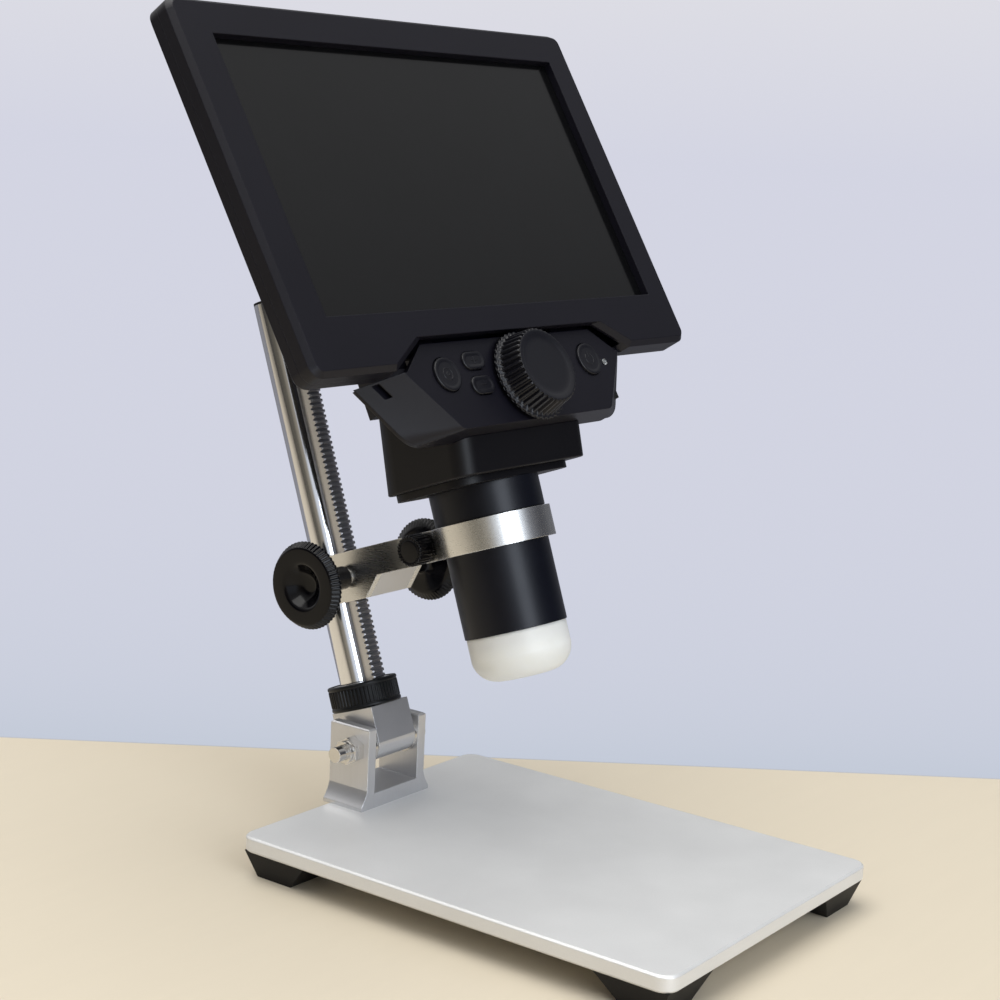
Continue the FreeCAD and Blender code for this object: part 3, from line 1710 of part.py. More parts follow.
def panel_outline(high_half, low_half, top, bottom, corner=0):
    """Trapezium, wider at the top, with its two lower corners rounded."""
    if float(corner) == 0:
        return [(-low_half, bottom), (low_half, bottom), (high_half, top), (-high_half, top)]
    run = float(high_half - low_half)
    rise = float(top - bottom)
    length = math.hypot(run, rise)
    cutback = corner * math.tan(math.atan2(rise, run) / 2)
    along_x = cutback * (run / length)
    along_z = cutback * (rise / length)
    return [
        (-low_half + cutback, bottom),
        (low_half - cutback, bottom, corner, -1),
        (low_half + along_x, bottom + along_z),
        (high_half, top),
        (-high_half, top),
        (-low_half - along_x, bottom + along_z, corner, -1),
    ]


def control_panel():
    """Trapezium shaped panel, flared towards the back, with holes for the keys and the wheel."""
    wall = d.panel_wall
    top = head_bottom()
    bottom = below_head(d.panel_tall)
    behind = -d.panel_rim_deep
    piece = Piece("control_panel", SCREEN)
    rim = panel_outline(d.panel_rim_high, d.panel_rim_low, top, bottom, d.panel_corner_rear)
    face = panel_outline(d.panel_face_high, d.panel_face_low, top, bottom, d.panel_corner_front)
    piece.loft("front", behind, -d.panel_deep, rim, face)
    # Tongue of the face that reaches up into the bezel's notch.
    tongue_top = top + d.notch_tall - 1.0
    tongue = panel_outline(d.notch_high - 1.0, d.notch_low - 6.0, tongue_top, top)
    piece.pad("front", -(d.panel_deep + wall), -d.panel_deep, tongue)
    inset = wall * 2.2
    lid = behind + d.lid_thick
    for start, end, roof in ((lid, -(d.panel_deep + wall), top), (behind, lid, top - wall)):
        inner = panel_outline(d.panel_face_high - inset, d.panel_face_low - inset, roof, bottom + wall)
        piece.pocket("front", start, end, inner)
    piece.pocket("front", behind, 0, (0, below_head(d.wheel_down), d.focus_shaft + d.running_gap))
    gap = d.button_gap
    key_height = below_head(d.round_button_down)
    round_keys = [(d.round_button_out * side, key_height, d.round_button + gap) for side in (-1, 1)]
    lamp = (d.lamp_out, below_head(d.lamp_down), d.lamp_radius + d.seat_gap)
    piece.pocket("front", behind, 0, *round_keys, lamp)
    for down in (d.oval_button_high, d.oval_button_low):
        piece.pocket("front", behind, 0, oval_outline(below_head(down), gap))
    outer = d.panel_rim_high
    gap = d.seat_gap * 2
    port = port_outline(d.port_wide + gap, d.port_tall + gap, d.port_down)
    card = port_outline(d.card_wide + gap, d.card_tall + gap, d.card_down)
    piece.pocket("side", -outer, -d.port_inner, port)
    piece.pocket("side", d.port_inner, outer, card)
    piece.done()


def port_outline(wide, tall, down):
    """Side view opening in a flank of the panel, its middle a distance below the head's lower edge."""
    deep = d.port_depth
    middle = below_head(down)
    return rectangle(deep - tall / 2, middle - wide / 2, deep + tall / 2, middle + wide / 2)


def charge_port():
    """Metal shell and tongue of the small socket in the left flank."""
    shell = d.port_shell
    inner = -d.port_inner
    outer = inner - d.port_long
    floor = inner - d.port_floor
    piece = Piece("charge_port", SCREEN)
    piece.pad("side", outer, inner, port_outline(d.port_wide, d.port_tall, d.port_down))
    room = port_outline(d.port_wide - shell * 2, d.port_tall - shell * 2, d.port_down)
    piece.pocket("side", outer, floor, room)
    tongue = port_outline(d.port_wide / 2, shell, d.port_down)
    piece.pad("side", outer + d.port_floor, floor, tongue)
    piece.done()


def card_reader():
    """Metal mouth of the memory card slot in the right flank."""
    shell = d.port_shell
    start = d.port_inner
    end = start + d.port_long
    piece = Piece("card_reader", SCREEN)
    piece.pad("side", start, end, port_outline(d.card_wide, d.card_tall, d.card_down))
    room = port_outline(d.card_wide - shell * 2, d.card_tall - shell * 2, d.card_down)
    piece.pocket("side", start + d.port_floor, end, room)
    piece.done()


def oval_outline(height, grow):
    """Round ended key outline, left of the wheel."""
    x = -d.oval_button_out
    half = d.oval_button_long / 2 + grow
    end = d.oval_button_tall / 2 + grow
    straight = half - end
    bow = end * 1.06
    return [
        (x - straight, height - end),
        (x + straight, height - end, bow, -1),
        (x + straight, height + end),
        (x - straight, height + end, bow, -1),
    ]


def key_depths():
    """Front face, shoulder and stem end of a key, as depths."""
    front = d.panel_deep - d.button_proud
    shoulder = d.panel_deep + d.panel_wall
    flange = shoulder + d.button_flange
    end = d.switch_board_deep - d.switch_tall - d.button_travel - d.running_gap * 2
    return front, shoulder, flange, end


def round_button(label, side):
    front, shoulder, flange, end = key_depths()
    x = d.round_button_out * side
    z = below_head(d.round_button_down)
    piece = Piece(label, SCREEN)
    lip = shoulder + d.button_lip
    piece.pad("front", -lip, -front, (x, z, d.round_button))
    piece.pad("front", -flange, -lip, (x, z, d.round_button + d.button_flange))
    piece.pad("front", -end, -flange, (x, z, d.button_stem))
    piece.done()


def oval_button(label, down):
    front, shoulder, flange, end = key_depths()
    height = below_head(down)
    piece = Piece(label, SCREEN)
    lip = shoulder + d.button_lip
    piece.pad("front", -lip, -front, oval_outline(height, as_size(0)))
    piece.pad("front", -flange, -lip, oval_outline(height, d.button_flange / 1.5))
    piece.pad("front", -end, -flange, (-d.oval_button_out, height, d.button_stem))
    piece.done()


def key_spots():
    """Centre of each key as (x, height)."""
    out = d.round_button_out
    down = below_head(d.round_button_down)
    oval = -d.oval_button_out
    high = below_head(d.oval_button_high)
    low = below_head(d.oval_button_low)
    return ((-out, down), (out, down), (oval, high), (oval, low))


def switch_board():
    """Board behind the keys, with a hole for the wheel's shaft."""
    start = d.switch_board_deep
    end = start + d.switch_board_thick
    half = d.round_button_out + 5.0
    top = head_bottom() + 3.0
    bottom = below_head(d.panel_tall) + 4.0
    piece = Piece("switch_board", SCREEN)
    piece.pad("front", -end, -start, panel_outline(half, half - 8.0, top, bottom))
    piece.pocket("front", -end, -start, (0, below_head(d.wheel_down), d.focus_shaft + 1.0))
    piece.done()


def key_switches():
    """One small square switch under each key."""
    tall = d.switch_tall
    places = [shift(x, d.switch_board_deep, z) * TO_FRONT for x, z in key_spots()]

    def one(name):
        return slab(name, d.switch_side, d.switch_side, tall)

    node("key_switches", copies("key_switches", one, places), SCREEN)


def status_lamp():
    lens = cylinder("lamp_lens", d.lamp_radius, d.panel_wall + 0.4)
    place = shift(d.lamp_out, d.panel_deep + d.panel_wall + 0.2, below_head(d.lamp_down)) * TO_FRONT
    node("status_lamp", lens, SCREEN * place)


def focus_frame():
    """Wheel axis: local +z points out of the screen, z = 0 on the head's front plane."""
    return SCREEN * shift(0, 0, below_head(d.wheel_down)) * TO_FRONT


def focus_wheel():
    """Knurled wheel with a flared skirt close over the panel."""
    base = -d.panel_deep + d.wheel_gap
    face = d.wheel_proud
    bore = d.focus_shaft + d.seat_gap
    piece = Piece("focus_wheel", focus_frame())
    piece.revolve([
        (0, face),
        (0, face - 3.0),
        (bore, face - 3.0),
        (bore, base),
        (d.wheel_skirt, base),
        (d.wheel_skirt, base + 1.2),
        (d.wheel_radius, face),
    ])
    outermost = d.wheel_radius.value
    top = face.value
    piece.fillet(0.8, lambda edge: edge.BoundBox.ZMin > top - 1e-3 and edge.BoundBox.XMax > outermost - 1e-3)
    piece.done()


def focus_shaft():
    end = -(d.focus_gear_deep + d.focus_gear_width / 2 + 0.6)
    start = d.wheel_proud - 3.0
    rod = cylinder("focus_rod", d.focus_shaft, start - end, shift(0, 0, end))
    node("focus_shaft", rod, focus_frame())


def focus_pinion():
    """Small gear at the shaft's inner end, its gap towards the focus rack."""
    width = d.focus_gear_width.value
    face = gear_outline(
        int(d.focus_teeth.value),
        d.focus_pitch.value,
        d.focus_addendum.value,
        d.focus_addendum.value + d.tooth_gap.value,
        d.focus_backlash.value,
        3,
    )
    gear = face.extrude(Vector(0, 0, width))
    gear = gear.cut(Part.makeCylinder(d.focus_shaft.value + d.seat_gap.value, width))
    shaped("focus_pinion", gear, focus_frame() * shift(0, 0, -d.focus_gear_deep.value - width / 2))


def panel_back():
    """Back wall of the control panel, with a bearing hole for the focus shaft."""
    start = d.panel_rim_deep
    end = start + d.back_thick
    piece = Piece("panel_back", SCREEN)
    high = d.panel_rim_high - d.back_inset
    low = d.panel_rim_low - d.back_inset
    outline = panel_outline(high, low, head_bottom(), below_head(d.panel_tall), d.panel_corner_rear)
    piece.pad("front", -end, -start, outline)
    piece.pocket("front", -end, -start, (0, below_head(d.wheel_down), d.focus_shaft + d.running_gap))
    piece.done()


def build_all():
    base_plate()
    feet()
    foot_screws()
    clevis_bracket()
    clevis_screws()
    pivot_bolt()
    pivot_nut()
    pivot_washers()
    tilt_block()
    locking_collar()
    post_tube()
    post_plug()
    gear_rack()
    rack_screws()
    arm_band()
    guide_block()
    arm_screws()
    brake_pad()
    brake_screw()
    pinion_gear()
    pinion_shaft()
    lift_knob("lift_knob_left", -1)
    lift_knob("lift_knob_right", 1)
    clamp_screw()
    clamp_nut()
    barrel_tube()
    barrel_sleeve()
    diffuser_cap()
    lamp_board()
    lamps()
    lens_carrier()
    objective_lens()
    lens_ring()
    focus_rack()
    neck_housing()
    neck_plate()
    sensor_board()
    image_sensor()
    front_bezel()
    rear_cover()
    screen_glass()
    lcd_panel()
    main_board()
    battery()
    control_panel()
    panel_back()
    charge_port()
    card_reader()
    round_button("button_capture", -1)
    round_button("button_power", 1)
    oval_button("button_zoom_in", d.oval_button_high)
    oval_button("button_zoom_out", d.oval_button_low)
    switch_board()
    key_switches()
    status_lamp()
    focus_wheel()
    focus_shaft()
    focus_pinion()


def check_document():
    doc.recompute()
    for thing in doc.Objects:
        if "Invalid" in thing.State or "Error" in thing.State:
            raise ValueError(f"{thing.Label} is {thing.State}")
    for thing in NODES:
        if thing.Shape.isNull() or not thing.Shape.isValid():
            raise ValueError(f"{thing.Label} has no valid shape")
        if not thing.Shape.Solids:
            raise ValueError(f"{thing.Label} has no solid")


def write_parts():
    os.makedirs("parts", exist_ok=True)
    for thing in NODES:
        thing.Shape.exportStep(f"parts/{thing.Label}.step")
        print(f"{thing.Label}: {len(thing.Shape.Solids)} solid(s), {thing.Shape.Volume:.1f} mm3")


build_all()
check_document()
write_parts()
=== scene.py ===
# %% [markdown]
# # Desk microscope with a wide screen
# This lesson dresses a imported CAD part. The CAD nodes give every size and place, and stay the truth.
# Here they get real finishes, and the knurled and pressed pieces are made again as fine numpy surfaces.
# Lengths of new pieces are in millimetres until the last step, which turns them into metres.

import json
import math

import bpy
import bmesh
import numpy as np
from mathutils import Matrix, Vector


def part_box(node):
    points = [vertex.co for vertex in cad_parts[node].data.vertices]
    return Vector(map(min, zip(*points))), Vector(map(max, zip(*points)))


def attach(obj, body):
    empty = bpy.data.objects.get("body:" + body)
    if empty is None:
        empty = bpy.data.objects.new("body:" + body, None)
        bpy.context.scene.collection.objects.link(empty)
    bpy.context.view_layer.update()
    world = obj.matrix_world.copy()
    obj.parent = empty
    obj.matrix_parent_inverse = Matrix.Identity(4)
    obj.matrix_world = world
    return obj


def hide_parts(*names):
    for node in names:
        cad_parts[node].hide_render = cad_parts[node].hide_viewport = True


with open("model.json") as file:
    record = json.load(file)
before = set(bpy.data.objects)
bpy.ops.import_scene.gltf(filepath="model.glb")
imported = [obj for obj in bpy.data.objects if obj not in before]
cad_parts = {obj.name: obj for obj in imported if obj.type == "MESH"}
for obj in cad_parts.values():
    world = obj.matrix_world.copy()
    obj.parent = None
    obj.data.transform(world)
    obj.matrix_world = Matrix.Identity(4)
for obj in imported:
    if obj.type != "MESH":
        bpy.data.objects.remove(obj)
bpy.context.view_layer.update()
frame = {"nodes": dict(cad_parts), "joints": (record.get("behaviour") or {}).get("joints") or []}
NODES = frame["nodes"]
JOINTS = {joint["name"]: joint for joint in frame["joints"]}
MM = 0.001

# %% [markdown]
# ## Shader arithmetic
# A finish is a sum of small effects: colour, grain, brush lines, wear on edges. Written as nodes by hand
# that is hard to read, so a socket is wrapped in a class that knows +, -, * and /.
# Numbers alone are worked out in Python, and only what varies over the surface becomes a node.


# %% A socket that takes part in arithmetic
class Flow:
    """One output socket of a node tree, usable in ordinary expressions."""

    def __init__(self, graph, socket):
        self.graph = graph
        self.socket = socket

    def maths(self, operation, first, second=None):
        values = {0: first} if second is None else {0: first, 1: second}
        return self.graph.node("ShaderNodeMath", {"operation": operation}, values)

    def __add__(self, other):
        return self.maths("ADD", self, other)

    __radd__ = __add__

    def __sub__(self, other):
        return self.maths("SUBTRACT", self, other)

    def __rsub__(self, other):
        return self.maths("SUBTRACT", other, self)

    def __mul__(self, other):
        return self.maths("MULTIPLY", self, other)

    __rmul__ = __mul__

    def __truediv__(self, other):
        return self.maths("DIVIDE", self, other)

    def __rtruediv__(self, other):
        return self.maths("DIVIDE", other, self)

    def fract(self):
        return self.maths("FRACT", self)

    def ramp(self, low, high):
        """0 below low, 1 above high, straight between."""
        return self.graph.node("ShaderNodeMapRange", {"clamp": True}, {0: self, 1: low, 2: high})


# %% [markdown]
# ## One class for a whole finish
# Every finish here ends in the Principled shader. What is the same all over is set on the shader's own
# sockets, and what varies comes in as a Flow. Real moulded or machined edges are never razor sharp, so
# the normal starts from the Bevel node, which rounds an edge in the light without changing the mesh.


# %% A finish and its nodes
class Graph:
    """A node tree whose nodes are all made by one method."""

    def __init__(self, tree):
        self.tree = tree

    def node(self, kind, settings=None, values=None, out=0):
        """Makes a node, sets it up, then fills its sockets. out is one output or a tuple of outputs."""
        made = self.tree.nodes.new(kind)
        for name, value in (settings or {}).items():
            setattr(made, name, value)
        for name, value in (values or {}).items():
            if isinstance(value, Flow):
                self.tree.links.new(value.socket, made.inputs[name])
            else:
                made.inputs[name].default_value = value
        if isinstance(out, tuple):
            return [Flow(self, made.outputs[name]) for name in out]
        return Flow(self, made.outputs[out])

    def blend(self, factor, first, second):
        """Colour between two colours."""
        return self.node("ShaderNodeMix", {"data_type": "RGBA"}, {0: factor, 6: first, 7: second}, out=2)


BEVEL_SAMPLES = 4
LEAN_LOW, LEAN_HIGH = 0.02, 0.3


class Finish(Graph):
    """A material on the Principled shader. Constants are set on the shader's own sockets."""

    def __init__(self, name, **constants):
        self.material = bpy.data.materials.new(name)
        self.material.use_nodes = True
        super().__init__(self.material.node_tree)
        self.shader = self.tree.nodes["Principled BSDF"]
        self.point = None
        for socket, value in constants.items():
            self.shader.inputs[socket.replace("_", " ")].default_value = value

    def place(self):
        """The point on the object, in metres."""
        if self.point is None:
            self.point = self.node("ShaderNodeTexCoord", out="Object")
        return self.point

    def along(self, direction):
        """Distance along a direction, in metres."""
        values = {0: self.place(), 1: tuple(direction)}
        return self.node("ShaderNodeVectorMath", {"operation": "DOT_PRODUCT"}, values, out="Value")

    def noise(self, grain, detail=2.0, rough=0.5, at=None):
        """Soft random values about 0.5, with a grain in metres."""
        values = {"Vector": at or self.place(), "Scale": 1 / grain, "Detail": detail, "Roughness": rough}
        return self.node("ShaderNodeTexNoise", None, values)

    def stretched(self, long_way, factor):
        """The point with one axis squeezed, so that noise on it runs in lines along that axis."""
        scale = [1.0, 1.0, 1.0]
        scale[long_way] = 1 / factor
        return self.node("ShaderNodeMapping", None, {"Vector": self.place(), "Scale": scale})

    def rounded(self, radius):
        return self.node("ShaderNodeBevel", {"samples": BEVEL_SAMPLES}, {"Radius": radius})

    def edges(self, radius):
        """1 on the edges and 0 on the faces: how far the rounded normal leans from the true one."""
        geometry = self.node("ShaderNodeNewGeometry", out="Normal")
        values = {0: self.rounded(radius), 1: geometry}
        lean = self.node("ShaderNodeVectorMath", {"operation": "DOT_PRODUCT"}, values, out="Value")
        return (1 - lean).ramp(LEAN_LOW, LEAN_HIGH)

    def relief(self, height, deep, normal=None):
        """Bump from a height in 0..1, deep in metres."""
        values = {"Height": height, "Distance": deep, "Strength": 1.0}
        if normal is not None:
            values["Normal"] = normal
        return self.node("ShaderNodeBump", None, values)

    def feed(self, **sockets):
        for name, flow in sockets.items():
            self.tree.links.new(flow.socket, self.shader.inputs[name.replace("_", " ")])
        return self.material


def rgba(*colour):
    return (*colour, 1.0)


def toned(colour, factor):
    """The colour made darker or lighter by a factor, and never above white."""
    return rgba(*[min(part * factor, 1.0) for part in colour])


# %% [markdown]
# ## Black moulded plastic
# The head, the neck and the panel are injection moulded in black plastic with a very fine spark texture.
# Photographed in a bright room it reads as dark blue grey. The texture is noise of a fifth of a
# millimetre, the polish varies a little over the hand's width, and handled edges are a touch smoother
# and lighter: the lighter colour is partly wear and partly a painted highlight on the edge.


# %% Moulded plastics
HAND_WIDE = 0.03
TONE = 0.25


def moulded(name, colour, rough, grain=0.0002, deep=0.000012, edge=0.0004, shine=0.25):
    """Black or grey moulding: colour clouds, spark texture, soft edges, and edges painted lighter, partly
    wear and partly a painted highlight.

    The roughness is the given one, plus a share of the clouds and of the texture, less a share of the
    wear on the edges.
    """
    finish = Finish(name, Specular_IOR_Level=shine)
    clouds = finish.noise(HAND_WIDE, 3.0)
    texture = finish.noise(grain, 2.0, 0.6)
    rubbed_edges_and_painted_highlight = finish.edges(edge)
    roughness = rough + 0.1 * (clouds - 0.5) + 0.06 * (texture - 0.5) - 0.08 * rubbed_edges_and_painted_highlight
    # The edge mask also paints the edges lighter: partly rubbed wear, partly a painted highlight on the
    # edge.
    tint = finish.blend(clouds * 0.6 + rubbed_edges_and_painted_highlight * 0.35, toned(colour, 1 - TONE), toned(colour, 1 + TONE))
    normal = finish.relief(texture, deep, finish.rounded(edge))
    return finish.feed(Base_Color=tint, Roughness=roughness, Normal=normal)


HEAD_BLACK = moulded("head_black", (0.0050, 0.0046, 0.0085), 0.38, shine=0.26)
NECK_BLACK = moulded("neck_black", (0.0022, 0.0020, 0.0036), 0.42)
KEY_BLACK = moulded(
    "key_black", (0.0055, 0.0055, 0.0085), 0.34, deep=0.000006, edge=0.0002, shine=0.35
)
KNOB_BLACK = moulded(
    "knob_black", (0.0014, 0.0013, 0.0024), 0.16, deep=0.000002, edge=0.0002, shine=0.22
)
COLLAR_BLACK = moulded("collar_black", (0.0025, 0.0032, 0.0045), 0.36, edge=0.0002, shine=0.25)
FOOT_BLACK = moulded("foot_black", (0.005, 0.0046, 0.005), 0.55, grain=0.0005, deep=0.00003)
BOARD_GREEN = moulded("board_green", (0.008, 0.030, 0.014), 0.45, edge=0.0001)
CHIP_BLACK = moulded("chip_black", (0.006, 0.006, 0.006), 0.5, edge=0.0001)
BATTERY_WRAP = moulded("battery_wrap", (0.012, 0.016, 0.030), 0.4, edge=0.0006)
SOFT_PAD = moulded("soft_pad", (0.35, 0.33, 0.30), 0.8, grain=0.0006, deep=0.00005)
print("moulded finishes ready")

# %% [markdown]
# ## Bare and plated metals
# Four metals meet on the stand: bead blasted and anodised aluminium on the plate, drawn aluminium strip
# on the arm and the bracket, bright chrome on the post, and milled steel on the rack. They share one
# recipe, a metallic shader with lines or grain in its polish, and differ in scale, direction and depth.


# %% Metals
BRUSH_LONG = 60.0
DULL, FRESH = 0.86, 1.06


def metal(
    name, colour, rough, lines=None, grain=0.0004, deep=0.000004, edge=0.0003, streak=0.08,
    shine=0.0, pure=1.0,
):
    """Metal with brush lines along one axis (0, 1, 2) or an even grain, and bright edges that are
    partly rubbed wear and partly a painted highlight.

    The roughness is the given one, plus streak times the texture, and half of it goes on the edges.
    pure below 1 mixes in the matt white of a thick blasted and anodised skin.
    """
    finish = Finish(name, Metallic=pure)
    where = finish.place() if lines is None else finish.stretched(lines, BRUSH_LONG)
    texture = finish.noise(grain, 3.0, 0.65, where)
    clouds = finish.noise(0.02, 2.0)
    rubbed_edges_and_painted_highlight = finish.edges(edge)
    # shine paints the edges brighter through the edge mask: partly rubbed wear, partly a painted
    # highlight.
    share = texture * 0.5 + clouds * 0.5 + rubbed_edges_and_painted_highlight * shine
    tint = finish.blend(share, toned(colour, DULL), toned(colour, FRESH))
    roughness = rough + streak * (texture - 0.5) + 0.06 * (clouds - 0.5) - 0.5 * rough * rubbed_edges_and_painted_highlight
    normal = finish.relief(texture, deep, finish.rounded(edge))
    return finish.feed(Base_Color=tint, Roughness=roughness, Normal=normal)


PLATE_SILVER = metal(
    "plate_silver", (0.80, 0.80, 0.795), 0.42, grain=0.00035, deep=0.000008, edge=0.0005, pure=0.45
)
ARM_SATIN = metal(
    "arm_satin", (0.72, 0.715, 0.70), 0.27, lines=1, grain=0.0003, deep=0.0000008, shine=0.4
)
BRACKET_SATIN = metal(
    "bracket_satin", (0.64, 0.64, 0.655), 0.34, lines=2, grain=0.0003, deep=0.0000012, shine=0.5,
    pure=0.8,
)
POST_CHROME = metal(
    "post_chrome", (0.80, 0.80, 0.81), 0.10, lines=2, grain=0.0005, deep=0.000001, streak=0.05
)
RACK_STEEL = metal(
    "rack_steel", (0.52, 0.52, 0.54), 0.30, lines=0, grain=0.0002, deep=0.000008, edge=0.0001
)
BRIGHT_STEEL = metal("bright_steel", (0.70, 0.68, 0.65), 0.18, grain=0.0006, deep=0.000004, shine=0.3)
BRASS = metal("brass_part", (0.75, 0.55, 0.26), 0.28, grain=0.0005)
print("metal finishes ready")

# %% [markdown]
# ## Anodised barrel
# The barrel is turned aluminium, anodised black. The turning leaves rings round it a tenth of a
# millimetre apart, too fine to see one by one, which spread the window's light into a broad band.


# %% Barrel finish
RINGS_PER_METRE = 9000.0


def turned_black(name, colour, rough, axis):
    """Black anodised metal with fine rings across an axis."""
    finish = Finish(name, Metallic=0.15, Specular_IOR_Level=0.35)
    values = {"W": finish.along(axis), "Scale": RINGS_PER_METRE, "Detail": 2.0}
    rings = finish.node("ShaderNodeTexNoise", {"noise_dimensions": "1D"}, values)
    clouds = finish.noise(0.012, 3.0)
    tint = finish.blend(clouds, toned(colour, 0.8), toned(colour, 1.25))
    roughness = rough + 0.10 * (clouds - 0.5) + 0.05 * (rings - 0.5)
    normal = finish.relief(rings, 0.0000015, finish.rounded(0.0003))
    return finish.feed(Base_Color=tint, Roughness=roughness, Normal=normal)


UP = Vector(JOINTS["head_swivel"]["axis"])
BARREL_BLACK = turned_black("barrel_black", (0.0015, 0.0022, 0.0062), 0.34, UP)
print("barrel axis", [round(part, 4) for part in UP])

# %% [markdown]
# ## Screen, lamp cover and lens
# The dark screen is glass over a black display: two layers of gloss, so it takes a coat. The lamp cover
# is milky plastic that light soaks into, which is subsurface scattering with a short reach.


# %% Glassy and milky finishes
def dark_glass():
    """Cover glass with a faint green grey depth and the smears that a cloth leaves."""
    finish = Finish("dark_glass", Coat_Weight=0.25, Coat_Roughness=0.06, Specular_IOR_Level=0.3)
    smears = finish.noise(0.018, 4.0, 0.6)
    dust = finish.noise(0.0006, 2.0).ramp(0.62, 0.75)
    tint = finish.blend(smears, rgba(0.0014, 0.0015, 0.0015), rgba(0.0028, 0.0028, 0.0034))
    return finish.feed(Base_Color=tint, Roughness=0.12 + 0.10 * smears + 0.06 * dust)


def milky():
    """Translucent moulded cover with a faint cloudiness."""
    finish = Finish("milky_cover", Subsurface_Weight=0.55, Subsurface_Scale=0.004)
    finish.shader.inputs["Subsurface Radius"].default_value = (1.0, 0.95, 0.85)
    clouds = finish.noise(0.006, 3.0)
    texture = finish.noise(0.0004, 2.0)
    tint = finish.blend(clouds, rgba(0.74, 0.74, 0.69), rgba(0.80, 0.80, 0.77))
    normal = finish.relief(texture, 0.000006, finish.rounded(0.0005))
    return finish.feed(Base_Color=tint, Roughness=0.38 + 0.08 * clouds, Normal=normal)


def clear(name, colour):
    """Polished clear glass or plastic."""
    finish = Finish(name, Transmission_Weight=0.9, IOR=1.5)
    smears = finish.noise(0.004, 3.0)
    tint = finish.blend(smears, toned(colour, 0.97), rgba(*colour))
    return finish.feed(Base_Color=tint, Roughness=0.02 + 0.03 * smears)


DARK_GLASS = dark_glass()
MILKY = milky()
CLEAR = clear("clear_part", (0.92, 0.95, 0.97))
LAMP_CLEAR = clear("lamp_clear", (0.97, 0.95, 0.88))
print("screen and cover finishes ready")

# %% [markdown]
# ## Dress the CAD nodes
# Each node keeps its mesh and only swaps its material. A table from node to finish keeps this in sight.

# %% Node to finish
DRESS = {
    PLATE_SILVER: ["base_plate"],
    FOOT_BLACK: ["feet"],
    BRACKET_SATIN: ["clevis_bracket", "tilt_block", "guide_block"],
    ARM_SATIN: ["arm_band"],
    POST_CHROME: ["post_tube"],
    RACK_STEEL: ["gear_rack"],
    BRIGHT_STEEL: [
        "pivot_bolt", "pivot_nut", "pivot_washers", "foot_screws", "clevis_screws", "rack_screws",
        "arm_screws", "brake_screw", "pinion_shaft", "clamp_nut", "focus_shaft",
    ],
    BRASS: ["pinion_gear", "focus_rack", "focus_pinion", "lens_ring"],
    BARREL_BLACK: ["barrel_tube", "barrel_sleeve", "lens_carrier"],
    HEAD_BLACK: ["front_bezel", "rear_cover", "control_panel", "panel_back"],
    NECK_BLACK: ["neck_housing", "neck_plate"],
    KNOB_BLACK: ["post_plug"],
    DARK_GLASS: ["screen_glass", "lcd_panel"],
    MILKY: ["diffuser_cap"],
    CLEAR: ["objective_lens", "status_lamp"],
    LAMP_CLEAR: ["lamps"],
    BOARD_GREEN: ["lamp_board", "sensor_board", "main_board", "switch_board"],
    CHIP_BLACK: ["image_sensor", "key_switches", "charge_port", "card_reader"],
    BATTERY_WRAP: ["battery"],
    SOFT_PAD: ["brake_pad"],
}


def dress(node, material):
    slots = NODES[node].data.materials
    if not len(slots):
        slots.append(material)
    for index in range(len(slots)):
        slots[index] = material


for material, names in DRESS.items():
    for name in names:
        dress(name, material)
print(sum(len(names) for names in DRESS.values()), "nodes dressed")

# %% [markdown]
# ## Places for the new pieces
# A turned piece needs the line it turns about. The joints hold those lines, so a knob is built about
# its own joint and can't drift from it. The screen's own axes come from the focus wheel's joint.


# %% Axes from the joints
class Place:
    """A point in the row frame with three axes, for pieces drawn in millimetres."""

    def __init__(self, origin, x, y, z):
        self.origin = np.array(origin, float)
        self.axes = np.array([x, y, z], float)

    def put(self, points):
        """Local millimetres to metres in the row frame."""
        return self.origin + (points * MM) @ self.axes

    def moved(self, x, y, z):
        return Place(self.put(np.array([x, y, z], float)), *self.axes)


def unit(vector):
    return np.array(vector, float) / np.linalg.norm(vector)


def turning(joint, towards=1.0, hint=(0.0, 0.0, 1.0)):
    """Place on a joint's line with z along it. hint says roughly where x points."""
    z = unit(JOINTS[joint]["axis"]) * towards
    y = unit(np.cross(z, hint))
    return Place(JOINTS[joint]["pos_m"], np.cross(y, z), y, z)


WHEEL_DOWN = 68.0
out_of_screen = unit(JOINTS["focus_turn"]["axis"])
across = unit(np.cross(-out_of_screen, np.array(UP)))
SCREEN = Place(JOINTS["focus_turn"]["pos_m"], across, -out_of_screen, np.cross(across, -out_of_screen))
SCREEN = SCREEN.moved(0, 0, WHEEL_DOWN)
print("screen middle", SCREEN.origin.round(4))

# %% [markdown]
# ## From a grid of points to a mesh
# Every new surface is a function on a grid: rows along a profile, columns around it. One function turns
# such a grid into quads, merges rows that shrink to a point, and lets all faces point outwards.


# %% Surface from a grid
SHARP = math.radians(38)
SAME_POINT = 1e-7
CURVE_SHARE = 0.45


def surface(name, points, material, around=True, ring=False):
    """Quads between neighbouring points of a (rows, columns, 3) grid in metres.

    around joins the last column to the first, ring joins the last row to the first.
    """
    rows, columns = points.shape[:2]
    index = np.arange(rows * columns).reshape(rows, columns)
    if around:
        index = np.concatenate([index, index[:, :1]], axis=1)
    if ring:
        index = np.concatenate([index, index[:1]], axis=0)
    quads = np.stack([index[:-1, :-1], index[:-1, 1:], index[1:, 1:], index[1:, :-1]], axis=-1)
    mesh = bpy.data.meshes.new(name)
    mesh.from_pydata(points.reshape(-1, 3), [], quads.reshape(-1, 4))
    return finished(name, mesh, material)


def finished(name, mesh, material):
    """Merges poles, points the faces outwards and links the piece."""
    shape = bmesh.new()
    shape.from_mesh(mesh)
    bmesh.ops.remove_doubles(shape, verts=shape.verts, dist=SAME_POINT)
    bmesh.ops.recalc_face_normals(shape, faces=shape.faces)
    shape.to_mesh(mesh)
    shape.free()
    mesh.shade_smooth()
    mesh.set_sharp_from_angle(angle=SHARP)
    mesh.materials.append(material)
    piece = bpy.data.objects.new(name, mesh)
    bpy.context.scene.collection.objects.link(piece)
    return piece


